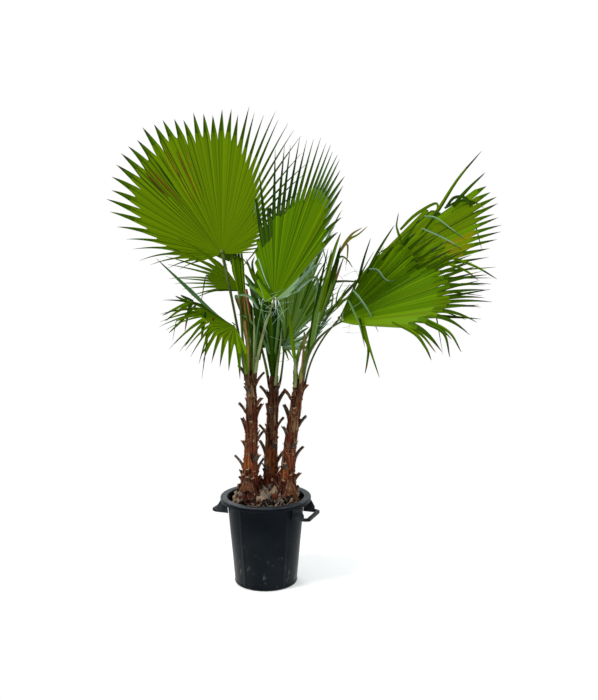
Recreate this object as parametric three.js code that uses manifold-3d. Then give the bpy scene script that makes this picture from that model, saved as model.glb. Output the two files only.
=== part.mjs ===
// A young Mexican fan palm (Washingtonia robusta) in a nursery pot: three stems from one root ball,
// each with old leaf bases up its length and a few fronds at its top. Every frond is a petiole and a
// pleated fan that is cut part of the way in between its segments; each stem also carries a spear, a
// frond that is still folded shut. Millimetres, +Z up, origin at the centre of the pot's underside.
import * as THREE from "three";
import { mergeVertices } from "three/addons/utils/BufferGeometryUtils.js";
import Module from "manifold-3d";

const wasm = await Module();
wasm.setup();

// ---- driving dimensions ----
const GAP = 0.4; // clear space between two pieces that meet
const POT = {
  height: 390,
  baseRadius: 139,
  wallTopRadius: 173,
  wall: 4,
  floor: 5,
  baseRound: 8,
  rimRadius: 200,
  rimTop: 5,
  rimSkirt: 20,
  rimRound: 3,
  skirtLean: 1,
  sides: 40,
};
const HANDLE = {
  turn: -20, // degrees from +X, about +Z, to the middle of the right-hand handle
  width: 150,
  bar: 14,
  barZ: 320,
  barShare: 0.8, // of the width
  reach: 230,
  armBend: 6, // the arms run straight this far beyond the gussets
  gusset: 8,
  gussetReach: 204,
  gussetRise: 12,
  gussetInset: 14,
};
const SOIL_TOP = 340;
const LITTER = {
  radius: 160,
  edge: 12,
  rise: 42,
  rough: 6,
  calm: 0.6, // how much flatter the ripples are at the edge
  waves: [5, 9, 3, 7],
  rings: 6,
  sides: 30,
};

const STEMS = {
  left: {
    foot: [-76, -30],
    head: [-62, -30],
    top: 950,
    bow: 9,
    footRadius: 41,
    headRadius: 18,
    boots: 17,
    turn: 120,
  },
  middle: {
    foot: [22, 52],
    head: [38, 52],
    top: 915,
    bow: -5,
    footRadius: 37,
    headRadius: 19,
    boots: 15,
    turn: 320,
  },
  right: {
    foot: [90, -20],
    head: [146, -18],
    top: 915,
    bow: -8,
    footRadius: 38,
    headRadius: 20,
    boots: 16,
    turn: 200,
  },
};
const STEM = {
  sides: 12,
  steps: 10,
  lean: 0.6, // share of the lean that comes gently
  taper: 0.6,
  flare: 0.22,
  flareHeight: 70,
  clear: 3, // kept free of another stem's leaf bases
};
const BOOT = {
  lowest: 0.12, // as shares of the stem's height
  span: 0.84,
  turn: 137.5,
  length: 62,
  lengthSwing: 0.3,
  lengthStep: 2.4,
  width: 26,
  narrowing: 0.45,
  thick: 9,
  thinning: 0.3,
  rise: 70,
  bend: 34,
  sunk: 12,
  steps: 3,
};

// Each frond: the stem it grows on and the side it leaves from, its hub, the way its middle segment
// points (azimuth and lift), the turn of the fan about that segment, and how far each half is folded
// up. Halves go left, right as seen from the stem; lengths and joined shares go right, middle, left.
const FAN = {
  pitch: 8,
  thick: 6,
  tipThick: 3.5,
  hubRadius: 14,
  pleat: 0.25,
  foldWidth: 60,
  tipSteps: 2,
  tipTaper: 0.9,
};
const FRONDS = [
  { name: "left_tall", stem: "left", side: 150, hub: [-193, 125, 1450], aim: [94, 70], turn: -21,
    fold: [22, 12], spread: [93, 94], length: [390, 715, 420],
    joined: [0.56, 0.8, 0.73], curl: 2, weep: 0.06 },
  { name: "left_low", stem: "left", side: 235, hub: [-128, -50, 1146], aim: [226, 17], turn: -26,
    fold: [2, 53], spread: [60, 38], length: [365, 400, 600],
    joined: [0.6, 0.66, 0.6], curl: 2, weep: 0.48 },
  { name: "left_back", stem: "left", side: 75, hub: [-161, 281, 1409], aim: [131, 29], turn: -13,
    fold: [36, 40], spread: [59, 54], length: [422, 519, 431],
    joined: [0.6, 0.66, 0.6], curl: 18, weep: 0.25 },
  { name: "centre_tall", stem: "left", side: 315, hub: [45, -187, 1265], aim: [-8, 73], turn: 45,
    fold: [0, 19], spread: [44, 51], length: [339, 674, 390],
    joined: [0.6, 0.6, 0.6], curl: 1, weep: 0.01 },
  { name: "middle_left", stem: "middle", side: 155, hub: [-117, 250, 1275], aim: [172, 35], turn: 39,
    fold: [2, -3], spread: [46, 44], length: [280, 320, 620],
    joined: [0.5, 0.55, 0.5], curl: 60, weep: 0.35 },
  { name: "middle_right", stem: "middle", side: 17, hub: [76, 126, 1036], aim: [52, 33], turn: -49,
    fold: [13, 28], spread: [53, 71], length: [520, 460, 546],
    joined: [0.6, 0.66, 0.6], curl: 6, weep: 0.14 },
  { name: "right_front", stem: "right", side: 0, hub: [309, -160, 1185], aim: [-29, 17], turn: 45,
    fold: [14, 15], spread: [66, 25], length: [850, 646, 300],
    joined: [0.6, 0.64, 0.6], curl: 1, weep: 0.01 },
  { name: "right_low", stem: "right", side: 298, hub: [310, -330, 1189], aim: [-38, 15], turn: 46,
    fold: [-9, 31], spread: [34, 34], length: [850, 651, 300],
    joined: [0.6, 0.64, 0.6], curl: 3, weep: 0.37 },
  { name: "right_high", stem: "right", side: 54, hub: [391, 60, 1327], aim: [-43, 9], turn: 66,
    fold: [-15, 20], spread: [52, 26], length: [850, 691, 850],
    joined: [0.66, 0.8, 0.72], curl: 1, weep: 0.01 },
  { name: "middle_back", stem: "middle", side: 86, hub: [140, 268, 1235], aim: [79, 34], turn: -8,
    fold: [63, 57], spread: [54, 63], length: [435, 524, 441],
    joined: [0.6, 0.66, 0.6], curl: 21, weep: 0.11 },
  { name: "right_back", stem: "right", side: 116, hub: [416, 238, 1274], aim: [23, 17], turn: -10,
    fold: [18, 23], spread: [62, 65], length: [466, 516, 458],
    joined: [0.6, 0.66, 0.6], curl: 12, weep: 0.24 },
];
const PETIOLE = {
  sides: 8,
  steps: 8,
  level: 0.97, // share of the stem's height at which it starts
  clear: 3,
  baseWidth: 13,
  width: 7,
  baseThick: 6,
  thick: 4.5,
  slimBy: 0.45, // share of its length over which the wide base slims down
  endTaper: 0.8,
  rise: 80,
  bend: 0.45,
  inHub: 6.3,
};
// Each spear: half its greatest width and thickness, how late on its way up it is widest, and its path.
const SPEARS = [
  { name: "left", width: 26, thick: 12, late: 2.2,
    path: [[-85, 40, 1150], [-115, 105, 1350], [-138, 185, 1545]] },
  { name: "middle", width: 34, thick: 13, late: 1.1,
    path: [[28, 54, 1060], [10, 56, 1180], [-6, 58, 1290]] },
  { name: "right", width: 32, thick: 13, late: 3.2,
    path: [[190, -30, 1050], [250, -40, 1250], [330, -30, 1480]] },
];
const SPEAR = {
  sides: 8,
  steps: 10,
  foot: 14,
  slimFoot: 0.12,
  full: 0.8,
  tipWidth: 3,
  tipThick: 2.5,
};
const TINT = {
  pot: 0x1b1f20,
  soil: 0x2a211b,
  litter: 0x6b5240,
  stem: 0x5c3223,
  petiole: 0x6c8a2c,
  frond: 0x4f8410,
  spear: 0x5c8c1e,
};

const rad = THREE.MathUtils.degToRad;
const lerp = THREE.MathUtils.lerp;
const parts = new THREE.Group();

function add(name, geometry, color, roughness) {
  const mesh = new THREE.Mesh(geometry, new THREE.MeshStandardMaterial({ color, roughness, metalness: 0 }));
  mesh.name = name;
  parts.add(mesh);
  return mesh;
}

// ---- solids: three.js geometry to manifold-3d and back ----
function solid(geometry) {
  const bare = geometry.index ? geometry.toNonIndexed() : geometry.clone();
  bare.deleteAttribute("normal");
  bare.deleteAttribute("uv");
  const merged = mergeVertices(bare, 1e-3);
  return new wasm.Manifold(
    new wasm.Mesh({
      numProp: 3,
      vertProperties: merged.attributes.position.array,
      triVerts: new Uint32Array(merged.index.array),
    }),
  );
}

function geometryOf(manifold) {
  const mesh = manifold.getMesh();
  const g = new THREE.BufferGeometry();
  g.setAttribute("position", new THREE.BufferAttribute(new Float32Array(mesh.vertProperties), 3));
  g.setIndex(new THREE.BufferAttribute(new Uint32Array(mesh.triVerts), 1));
  g.computeVertexNormals();
  return g;
}

function trianglesToGeometry(points, faces) {
  const g = new THREE.BufferGeometry();
  g.setAttribute("position", new THREE.Float32BufferAttribute(points.flatMap((p) => [p.x, p.y, p.z]), 3));
  g.setIndex(faces.flat());
  g.computeVertexNormals();
  return g;
}

// A closed skin over rings of equally many points, with a point in the middle of each end.
function loft(rings) {
  const sides = rings[0].length;
  const points = rings.flat();
  const faces = [];
  for (let k = 0; k + 1 < rings.length; k++) {
    for (let i = 0; i < sides; i++) {
      const j = (i + 1) % sides;
      const [a, b, c, d] = [k * sides + i, k * sides + j, (k + 1) * sides + j, (k + 1) * sides + i];
      faces.push([a, b, c], [a, c, d]);
    }
  }
  const middle = (ring) => ring.reduce((s, p) => s.add(p), new THREE.Vector3()).divideScalar(sides);
  const foot = points.push(middle(rings[0])) - 1;
  const head = points.push(middle(rings.at(-1))) - 1;
  const last = (rings.length - 1) * sides;
  for (let i = 0; i < sides; i++) {
    const j = (i + 1) % sides;
    faces.push([foot, j, i], [head, last + i, last + j]);
  }
  return trianglesToGeometry(points, faces);
}

function lathe(profile, sides) {
  const points = profile.map(([r, z]) => new THREE.Vector2(r, z));
  return new THREE.LatheGeometry(points, sides).rotateX(Math.PI / 2);
}

// ---- pot ----
// The wall leans out evenly from the base to the rim.
function wallRadius(z) {
  return POT.baseRadius + ((POT.wallTopRadius - POT.baseRadius) * z) / POT.height;
}

function potGeometry() {
  const { height, wall, floor, baseRound, rimRadius, rimTop, rimRound, sides } = POT;
  const skirtFoot = height - POT.rimSkirt;
  const bevel = baseRound * (1 - Math.SQRT1_2);
  const inner = wallRadius(height) - wall;
  const profile = [
    [0, 0],
    [wallRadius(0) - baseRound, 0],
    [wallRadius(0) - bevel, bevel],
    [wallRadius(baseRound), baseRound],
    [wallRadius(height - rimTop), height - rimTop],
    [rimRadius - wall, height - rimTop],
    [rimRadius - wall, skirtFoot],
    [rimRadius - POT.skirtLean, skirtFoot],
    [rimRadius, height - rimTop],
    [rimRadius - rimRound, height],
    [inner + rimRound, height],
    [inner, height - rimRound],
    [wallRadius(floor) - wall, floor],
    [0, floor],
  ];
  return lathe(profile, sides);
}

// ---- handles: two gussets under the rim and a U-shaped bar round the finger gap ----
function handleSolid() {
  const half = HANDLE.width / 2;
  const top = POT.height - POT.rimSkirt - GAP;
  const [low, high] = [HANDLE.barZ - HANDLE.bar / 2, HANDLE.barZ + HANDLE.bar / 2];
  const inner = POT.baseRadius;
  const [reach, bend] = [HANDLE.reach, HANDLE.gussetReach + HANDLE.armBend];
  const barHalf = half * HANDLE.barShare;
  const bar = new THREE.BoxGeometry(HANDLE.bar, barHalf * 2, HANDLE.bar);
  let made = solid(bar.translate(reach - HANDLE.bar / 2, 0, HANDLE.barZ));
  for (const s of [-1, 1]) {
    const y = s * (half - HANDLE.gusset / 2);
    const [near, far] = [y - HANDLE.gusset / 2, y + HANDLE.gusset / 2];
    const plate = new THREE.Shape([
      new THREE.Vector2(inner, low),
      new THREE.Vector2(HANDLE.gussetReach, low),
      new THREE.Vector2(HANDLE.gussetReach, high + HANDLE.gussetRise),
      new THREE.Vector2(POT.rimRadius - HANDLE.gussetInset, top),
      new THREE.Vector2(inner, top),
    ]);
    const gusset = new THREE.ExtrudeGeometry(plate, { depth: HANDLE.gusset, bevelEnabled: false });
    const corner = s * barHalf;
    const arm = new THREE.Shape([
      new THREE.Vector2(inner, near),
      new THREE.Vector2(bend, near),
      new THREE.Vector2(reach, corner - HANDLE.gusset / 2),
      new THREE.Vector2(reach, corner + HANDLE.gusset / 2),
      new THREE.Vector2(bend, far),
      new THREE.Vector2(inner, far),
    ]);
    const armGeometry = new THREE.ExtrudeGeometry(arm, { depth: HANDLE.bar, bevelEnabled: false });
    made = made.add(solid(gusset.rotateX(Math.PI / 2).translate(0, far, 0)));
    made = made.add(solid(armGeometry.translate(0, 0, low)));
  }
  const { height, sides } = POT;
  const wall = [[0, 0], [wallRadius(0) + GAP, 0], [wallRadius(height) + GAP, height], [0, height]];
  return made.subtract(solid(lathe(wall, sides)));
}

// ---- root ball and litter ----
function soilGeometry() {
  const r = (z) => wallRadius(z) - POT.wall - GAP * 2;
  const profile = [
    [0, POT.floor + GAP],
    [r(POT.floor), POT.floor + GAP],
    [r(SOIL_TOP), SOIL_TOP],
    [0, SOIL_TOP],
  ];
  return lathe(profile, POT.sides);
}

// A low mound of fallen leaf bases: a closed skin over rings of points that rise towards the middle.
function litterGeometry() {
  const { radius, edge, rise, rough, calm, waves, rings, sides } = LITTER;
  const floor = SOIL_TOP + GAP;
  const height = (s, a) => {
    const mound = edge + rise * (1 - s * s);
    const ripple = Math.sin(waves[0] * a + waves[1] * s) * Math.cos(waves[2] * a - waves[3] * s);
    return floor + mound + rough * (1 - s * calm) * ripple;
  };
  const ring = (s, z) =>
    Array.from({ length: sides }, (_, i) => {
      const a = (2 * Math.PI * i) / sides;
      return new THREE.Vector3(s * radius * Math.cos(a), s * radius * Math.sin(a), z(s, a));
    });
  const shares = Array.from({ length: rings }, (_, k) => (rings - k) / rings);
  return loft([ring(1, () => floor), ...shares.map((s) => ring(s, height))]);
}

// ---- stems ----
// Height up the stem from 0 to 1 gives its centre line and its radius.
function stemCentre(stem, t) {
  const lean = t * t * (3 - 2 * t);
  const bow = Math.sin(Math.PI * t) * stem.bow;
  return new THREE.Vector3(
    lerp(stem.foot[0], stem.head[0], lerp(t, lean, STEM.lean)) + bow,
    lerp(stem.foot[1], stem.head[1], t),
    lerp(SOIL_TOP + GAP, stem.top, t),
  );
}

function stemRadius(stem, t) {
  const rise = t * (stem.top - SOIL_TOP);
  const flare = STEM.flare * Math.exp(-rise / STEM.flareHeight);
  return lerp(stem.footRadius, stem.headRadius, t ** STEM.taper) * (1 + flare);
}

function ringAt(centre, radius, sides) {
  return Array.from({ length: sides }, (_, i) => {
    const a = (2 * Math.PI * i) / sides;
    return new THREE.Vector3(centre.x + radius * Math.cos(a), centre.y + radius * Math.sin(a), centre.z);
  });
}

function stemSolid(stem, grow = 0) {
  const rings = [];
  for (let k = 0; k <= STEM.steps; k++) {
    const t = k / STEM.steps;
    const centre = stemCentre(stem, t);
    if (k === 0) centre.z -= grow;
    rings.push(ringAt(centre, stemRadius(stem, t) + grow, STEM.sides));
  }
  return solid(loft(rings));
}

// An old leaf base: a flat stub that leaves the stem upwards and bends out.
function bootSolid(stem, index) {
  const t = BOOT.lowest + (BOOT.span * (index + 0.5)) / stem.boots;
  const azimuth = rad(stem.turn + index * BOOT.turn);
  const out = new THREE.Vector3(Math.cos(azimuth), Math.sin(azimuth), 0);
  const across = new THREE.Vector3(-out.y, out.x, 0);
  const size = 1 + BOOT.lengthSwing * Math.sin(index * BOOT.lengthStep + rad(stem.turn));
  const at = stemCentre(stem, t).addScaledVector(out, stemRadius(stem, t) - BOOT.sunk);
  const rings = [];
  for (let k = 0; k <= BOOT.steps; k++) {
    const s = k / BOOT.steps;
    const rise = rad(BOOT.rise - BOOT.bend * s);
    const along = out.clone().multiplyScalar(Math.cos(rise)).setZ(Math.sin(rise));
    const normal = new THREE.Vector3().crossVectors(along, across);
    if (k > 0) at.addScaledVector(along, (BOOT.length * size + BOOT.sunk) / BOOT.steps);
    const w = (BOOT.width / 2) * (1 - BOOT.narrowing * s);
    const h = (BOOT.thick / 2) * (1 - BOOT.thinning * s);
    const corners = [[w, -h], [w, h], [-w, h], [-w, -h]];
    rings.push(corners.map(([p, q]) => at.clone().addScaledVector(across, p).addScaledVector(normal, q)));
  }
  return solid(loft(rings));
}

// ---- fronds ----
function frameOf(frond) {
  const [azimuth, lift] = frond.aim.map(rad);
  const flat = new THREE.Vector3(Math.cos(azimuth), Math.sin(azimuth), 0);
  const along = flat.clone().multiplyScalar(Math.cos(lift)).setZ(Math.sin(lift));
  const up = flat.clone().multiplyScalar(-Math.sin(lift)).setZ(Math.cos(lift));
  up.applyAxisAngle(along, rad(frond.turn));
  return { along, left: new THREE.Vector3().crossVectors(up, along), up };
}

// A point of the fan: radius and angle from the hub in the flat fan, and height off its middle surface.
// Each half is folded up about the middle segment, and the whole is bent back along it.
function fanPoint(frond, frame, radius, angle, height) {
  const a = radius * Math.cos(angle);
  const b = radius * Math.sin(angle);
  const fold = rad(frond.fold[b > 0 ? 0 : 1]);
  const w = FAN.foldWidth;
  const root = Math.hypot(b, w);
  const slope = (Math.tan(fold) * b) / root;
  const tilt = 1 / Math.hypot(1, slope);
  const side = b * Math.cos(fold) - height * slope * tilt;
  const rise = Math.sin(fold) * (root - w) + height * tilt;
  const curl = rad(frond.curl) / frond.length[1];
  return new THREE.Vector3(...frond.hub)
    .addScaledVector(frame.along, Math.sin(curl * a) / curl + rise * Math.sin(curl * a))
    .addScaledVector(frame.left, side)
    .addScaledVector(frame.up, rise * Math.cos(curl * a) - (1 - Math.cos(curl * a)) / curl);
}

// A value given at the right edge, the middle and the left edge of a half-circle fan, at any angle.
function across([right, middle, left], angle) {
  const q = angle / (Math.PI / 2);
  return middle + ((left - right) / 2) * q + ((left + right) / 2 - middle) * q * q;
}

// How far the segment at this angle reaches, and how far out it is still joined to its neighbours.
function tipRadius(frond, angle) {
  return across(frond.length, angle);
}

function joinRadius(frond, angle) {
  return tipRadius(frond, angle) * across(frond.joined, angle);
}

// The fan as one thin solid. Border j is shared by segments j - 1 and j from the hub to where they part;
// beyond that each segment has its own two edges, which draw together to the tip and weep.
function fanGeometry(frond) {
  const { thick, tipThick, hubRadius, pleat, tipSteps, tipTaper } = FAN;
  const [left, right] = frond.spread.map(rad);
  const segments = Math.round((left + right) / rad(FAN.pitch));
  const frame = frameOf(frond);
  const points = [];
  const faces = [];
  const pitch = (left + right) / segments;
  const pair = (top, bottom) => [points.push(top) - 1, points.push(bottom) - 1];
  const sheet = (radius, angle, height) =>
    pair(
      fanPoint(frond, frame, radius, angle, height + thick / 2),
      fanPoint(frond, frame, radius, angle, height - thick / 2),
    );
  const rings = (angle) => {
    const join = joinRadius(frond, angle);
    return [hubRadius, join / 2, join];
  };
  const ridge = (radius) => (pleat * radius * pitch) / 2;
  const borders = [];
  for (let j = 0; j <= segments; j++) {
    const angle = j * pitch - right;
    borders.push(rings(angle).map((r) => sheet(r, angle, ridge(r))));
  }
  const quad = (a, b, c, d) => faces.push([a, b, c], [a, c, d]);
  // a strip between two lines of [top, bottom] pairs that both run outwards, the second on the left
  const strip = (right, left) => {
    for (let k = 0; k + 1 < right.length; k++) {
      quad(right[k][0], right[k + 1][0], left[k + 1][0], left[k][0]);
      quad(right[k][1], left[k][1], left[k + 1][1], right[k + 1][1]);
    }
  };
  const wallOnRight = (line) => {
    for (let k = 0; k + 1 < line.length; k++) quad(line[k][0], line[k][1], line[k + 1][1], line[k + 1][0]);
  };
  const wallOnLeft = (line) => {
    for (let k = 0; k + 1 < line.length; k++) quad(line[k][0], line[k + 1][0], line[k + 1][1], line[k][1]);
  };
  for (let j = 0; j < segments; j++) {
    const angle = (j + 0.5) * pitch - right;
    const middle = rings(angle).map((r) => sheet(r, angle, -ridge(r)));
    strip(borders[j], middle);
    strip(middle, borders[j + 1]);
    quad(borders[j][0][0], middle[0][0], middle[0][1], borders[j][0][1]);
    quad(middle[0][0], borders[j + 1][0][0], borders[j + 1][0][1], middle[0][1]);
    // the free end
    const join = joinRadius(frond, angle);
    const reach = tipRadius(frond, angle) - join;
    const start = fanPoint(frond, frame, join, angle, 0);
    const heading = fanPoint(frond, frame, join + 1, angle, 0).sub(start).normalize();
    const up = fanPoint(frond, frame, join, angle, 1).sub(start).normalize();
    const sideways = new THREE.Vector3().crossVectors(up, heading);
    const half = (join * pitch) / 2;
    const lines = [[borders[j].at(-1)], [middle.at(-1)], [borders[j + 1].at(-1)]];
    const at = start.clone();
    for (let k = 1; k <= tipSteps; k++) {
      const bent = heading.clone().setZ(heading.z - (frond.weep * (2 * k - 1)) / tipSteps).normalize();
      at.addScaledVector(bent, reach / tipSteps);
      const normal = new THREE.Vector3().crossVectors(bent, sideways).normalize();
      const t = k / tipSteps;
      const h = lerp(thick, tipThick, t) / 2;
      const narrow = half * (1 - t) ** tipTaper;
      const place = (side, lift) =>
        pair(
          at.clone().addScaledVector(sideways, side).addScaledVector(normal, lift + h),
          at.clone().addScaledVector(sideways, side).addScaledVector(normal, lift - h),
        );
      if (k < tipSteps) {
        lines[0].push(place(-narrow, pleat * narrow));
        lines[1].push(place(0, -pleat * narrow));
        lines[2].push(place(narrow, pleat * narrow));
      } else {
        const tip = place(0, 0);
        lines.forEach((line) => line.push(tip));
      }
    }
    strip(lines[0], lines[1]);
    strip(lines[1], lines[2]);
    wallOnRight(lines[0]);
    wallOnLeft(lines[2]);
  }
  wallOnRight(borders[0]);
  wallOnLeft(borders[segments]);
  const whole = faces.filter(([a, b, c]) => a !== b && b !== c && a !== c);
  return trianglesToGeometry(points, whole);
}

// ---- petioles ----
function ellipse(centre, breadth, w, depth, h, sides) {
  return Array.from({ length: sides }, (_, i) => {
    const a = (2 * Math.PI * i) / sides;
    return centre.clone().addScaledVector(breadth, w * Math.cos(a)).addScaledVector(depth, h * Math.sin(a));
  });
}

// A tapering stalk with a rounded section, wide across where it clasps the stem.
function petioleGeometry(frond) {
  const { sides, steps, level, clear, baseWidth, width, baseThick, thick } = PETIOLE;
  const stem = STEMS[frond.stem];
  const side = rad(frond.side);
  const out = new THREE.Vector3(Math.cos(side), Math.sin(side), 0);
  const aside = new THREE.Vector3(-out.y, out.x, 0);
  const start = stemCentre(stem, level).addScaledVector(out, stemRadius(stem, level) + baseThick + clear);
  const end = new THREE.Vector3(...frond.hub).addScaledVector(frameOf(frond).along, PETIOLE.inHub);
  const rise = rad(PETIOLE.rise);
  const leave = out.clone().multiplyScalar(Math.cos(rise)).setZ(Math.sin(rise));
  const bend = start.clone().addScaledVector(leave, start.distanceTo(end) * PETIOLE.bend);
  const curve = new THREE.QuadraticBezierCurve3(start, bend, end);
  const rings = [];
  for (let k = 0; k <= steps; k++) {
    const t = k / steps;
    const tangent = curve.getTangent(t);
    const breadth = aside.clone().addScaledVector(tangent, -aside.dot(tangent)).normalize();
    const depth = new THREE.Vector3().crossVectors(tangent, breadth);
    const slim = Math.min(1, t / PETIOLE.slimBy);
    const taper = lerp(1, PETIOLE.endTaper, t);
    const w = lerp(baseWidth, width, slim) * taper;
    const h = lerp(baseThick, thick, slim) * taper;
    rings.push(ellipse(curve.getPoint(t), breadth, w, depth, h, sides));
  }
  return loft(rings);
}

// ---- spears ----
// A frond that is still folded shut: a narrow lens of a section, widest past the middle of its length.
function spearGeometry(spear) {
  const foot = stemCentre(STEMS[spear.name], 1);
  foot.z += GAP;
  const curve = new THREE.CatmullRomCurve3([foot, ...spear.path.map((p) => new THREE.Vector3(...p))]);
  const rings = [];
  for (let k = 0; k <= SPEAR.steps; k++) {
    const t = k / SPEAR.steps;
    const tangent = curve.getTangent(t);
    const breadth = new THREE.Vector3(1, 0, 0).addScaledVector(tangent, -tangent.x).normalize();
    const depth = new THREE.Vector3().crossVectors(tangent, breadth);
    const swell = Math.sin(Math.PI * lerp(SPEAR.slimFoot, 1, t ** spear.late)) ** SPEAR.full;
    const w = Math.max(spear.width * swell, SPEAR.tipWidth);
    const h = Math.max(spear.thick * swell, SPEAR.tipThick);
    const centre = curve.getPoint(t);
    if (k === 0) rings.push(ringAt(centre, SPEAR.foot, SPEAR.sides));
    else rings.push(ellipse(centre, breadth, w, depth, h, SPEAR.sides));
  }
  return loft(rings);
}

// ---- assembly ----
add("pot", potGeometry(), TINT.pot, 0.5);
const handle = geometryOf(handleSolid());
add("handle_right", handle.clone().rotateZ(rad(HANDLE.turn)), TINT.pot, 0.5);
add("handle_left", handle.clone().rotateZ(rad(HANDLE.turn + 180)), TINT.pot, 0.5);
add("root_ball", soilGeometry(), TINT.soil, 0.95);

const stalks = FRONDS.map((frond) => petioleGeometry(frond));
const stalkSolids = stalks.map(solid);
let litter = solid(litterGeometry());
const stems = Object.entries(STEMS);
const finished = [];
for (const [name, stem] of stems) {
  const others = stems.filter(([other]) => other !== name).map(([, o]) => stemSolid(o, STEM.clear));
  const keepOff = [...others, ...finished, ...stalkSolids];
  let made = stemSolid(stem);
  for (let i = 0; i < stem.boots; i++) {
    const boot = bootSolid(stem, i);
    if (keepOff.every((other) => other.intersect(boot).volume() === 0)) made = made.add(boot);
  }
  finished.push(made);
  add("trunk_" + name, geometryOf(made), TINT.stem, 0.9);
  litter = litter.subtract(stemSolid(stem, GAP));
}
add("litter", geometryOf(litter), TINT.litter, 0.95);

FRONDS.forEach((frond, i) => {
  add("petiole_" + frond.name, stalks[i], TINT.petiole, 0.5);
  add("fan_" + frond.name, fanGeometry(frond), TINT.frond, 0.45);
});
for (const spear of SPEARS) add("spear_" + spear.name, spearGeometry(spear), TINT.spear, 0.5);

export default parts;
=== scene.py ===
"""A young fan palm in a black nursery pot: three slim stems from one root ball, each with the stubs of
its old leaves, a few open fans on long toothed stalks and a spear that is still folded shut."""

import math
import random

import bmesh
import bpy
from mathutils import Matrix, Vector, noise


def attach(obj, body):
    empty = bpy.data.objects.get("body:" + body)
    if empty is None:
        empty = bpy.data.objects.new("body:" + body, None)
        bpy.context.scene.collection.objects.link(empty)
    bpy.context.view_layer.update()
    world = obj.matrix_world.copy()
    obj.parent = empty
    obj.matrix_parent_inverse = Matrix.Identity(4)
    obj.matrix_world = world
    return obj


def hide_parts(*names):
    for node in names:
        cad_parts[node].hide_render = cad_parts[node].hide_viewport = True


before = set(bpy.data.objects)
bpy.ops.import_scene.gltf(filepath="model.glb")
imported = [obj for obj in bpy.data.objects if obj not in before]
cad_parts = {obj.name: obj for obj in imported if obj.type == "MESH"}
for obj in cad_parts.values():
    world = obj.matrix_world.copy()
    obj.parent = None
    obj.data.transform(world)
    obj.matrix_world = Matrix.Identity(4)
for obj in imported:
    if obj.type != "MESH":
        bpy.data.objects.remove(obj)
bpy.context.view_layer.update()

# ---- The view: camera, studio lights and floor --------------------------------------------------------
# The camera stands 3.8 m off at chest height and looks a little down. Large soft lamps and a pale floor
# light the plant evenly, with the main lamp high on the left.
scene = bpy.context.scene
scene.view_settings.view_transform = "Standard"
camera_distance, camera_height, camera_aside = 3.8, 1.5, 0.1469
camera_tilt = 6.962  # degrees below level
eye = bpy.data.cameras.new("eye")
eye.lens = 45.43
eye.sensor_width = 36
eye.clip_end = 60
camera = bpy.data.objects.new("eye", eye)
camera.location = (camera_aside, -camera_distance, camera_height)
camera.rotation_euler = (math.radians(90 - camera_tilt), 0, 0)
scene.collection.objects.link(camera)
scene.camera = camera


def soft_lamp(name, place, aim, size, watts, colour):
    data = bpy.data.lights.new(name, "AREA")
    data.size = size
    data.energy = watts
    data.color = colour
    lamp = bpy.data.objects.new(name, data)
    lamp.location = place
    lamp.rotation_euler = (Vector(aim) - Vector(place)).to_track_quat("-Z", "Y").to_euler()
    scene.collection.objects.link(lamp)


soft_lamp("main_lamp", (-2.6, -2.0, 4.8), (0.1, 0, 1.2), 1.5, 150, (1.0, 0.98, 0.93))
soft_lamp("side_lamp", (3.6, -2.4, 2.6), (0.2, 0, 1.0), 2.4, 40, (0.95, 0.98, 1.0))
soft_lamp("back_lamp", (-1.2, 3.4, 3.8), (0.1, 0, 1.4), 2.0, 60, (1.0, 1.0, 0.97))


def set_inputs(node, **values):
    """Sets a node's inputs by their labels, with _ for a space, and gives the node back."""
    for label, value in values.items():
        node.inputs[label.replace("_", " ")].default_value = value
    return node


def wire(tree, *pairs):
    """Links an output to an input, for each pair."""
    for output, target in pairs:
        tree.links.new(output, target)


def new_material(name, colour, roughness, gloss=0.5):
    material = bpy.data.materials.new(name)
    material.use_nodes = True
    surface = material.node_tree.nodes["Principled BSDF"]
    set_inputs(surface, Base_Color=(*colour, 1), Roughness=roughness, Specular_IOR_Level=gloss)
    return material


world = bpy.data.worlds.new("pale_room")
scene.world = world
world.use_nodes = True
air = world.node_tree
air.nodes.clear()
seen = set_inputs(air.nodes.new("ShaderNodeBackground"), Color=(1, 1, 1, 1), Strength=1.0)
cast = set_inputs(air.nodes.new("ShaderNodeBackground"), Color=(0.93, 0.97, 1.0, 1), Strength=0.62)
ray = air.nodes.new("ShaderNodeLightPath")
either = air.nodes.new("ShaderNodeMixShader")
sky = air.nodes.new("ShaderNodeOutputWorld")
wire(
    air,
    (ray.outputs["Is Camera Ray"], either.inputs[0]),
    (cast.outputs[0], either.inputs[1]),
    (seen.outputs[0], either.inputs[2]),
    (either.outputs[0], sky.inputs["Surface"]),
)

floor_mesh = bpy.data.meshes.new("floor")
floor_radius = 6
turns = [math.radians(a) for a in range(0, 360, 5)]
rim = [(floor_radius * math.cos(a), floor_radius * math.sin(a), 0) for a in turns]
floor_mesh.from_pydata(rim, [], [tuple(range(len(rim)))])
floor = bpy.data.objects.new("floor", floor_mesh)
scene.collection.objects.link(floor)
pale = new_material("pale_floor", (0.95, 0.95, 0.95), 0.95, 0.0)
paint = pale.node_tree
lit = set_inputs(paint.nodes["Principled BSDF"], Emission_Color=(1, 1, 1, 1), Emission_Strength=0.3)
spot = paint.nodes.new("ShaderNodeTexCoord")
away = paint.nodes.new("ShaderNodeVectorMath")
away.operation = "LENGTH"
fade = set_inputs(paint.nodes.new("ShaderNodeMapRange"), From_Min=0.25, From_Max=0.8)
fade.interpolation_type = "SMOOTHSTEP"
bare = paint.nodes.new("ShaderNodeBsdfTransparent")
blend = paint.nodes.new("ShaderNodeMixShader")
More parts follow.
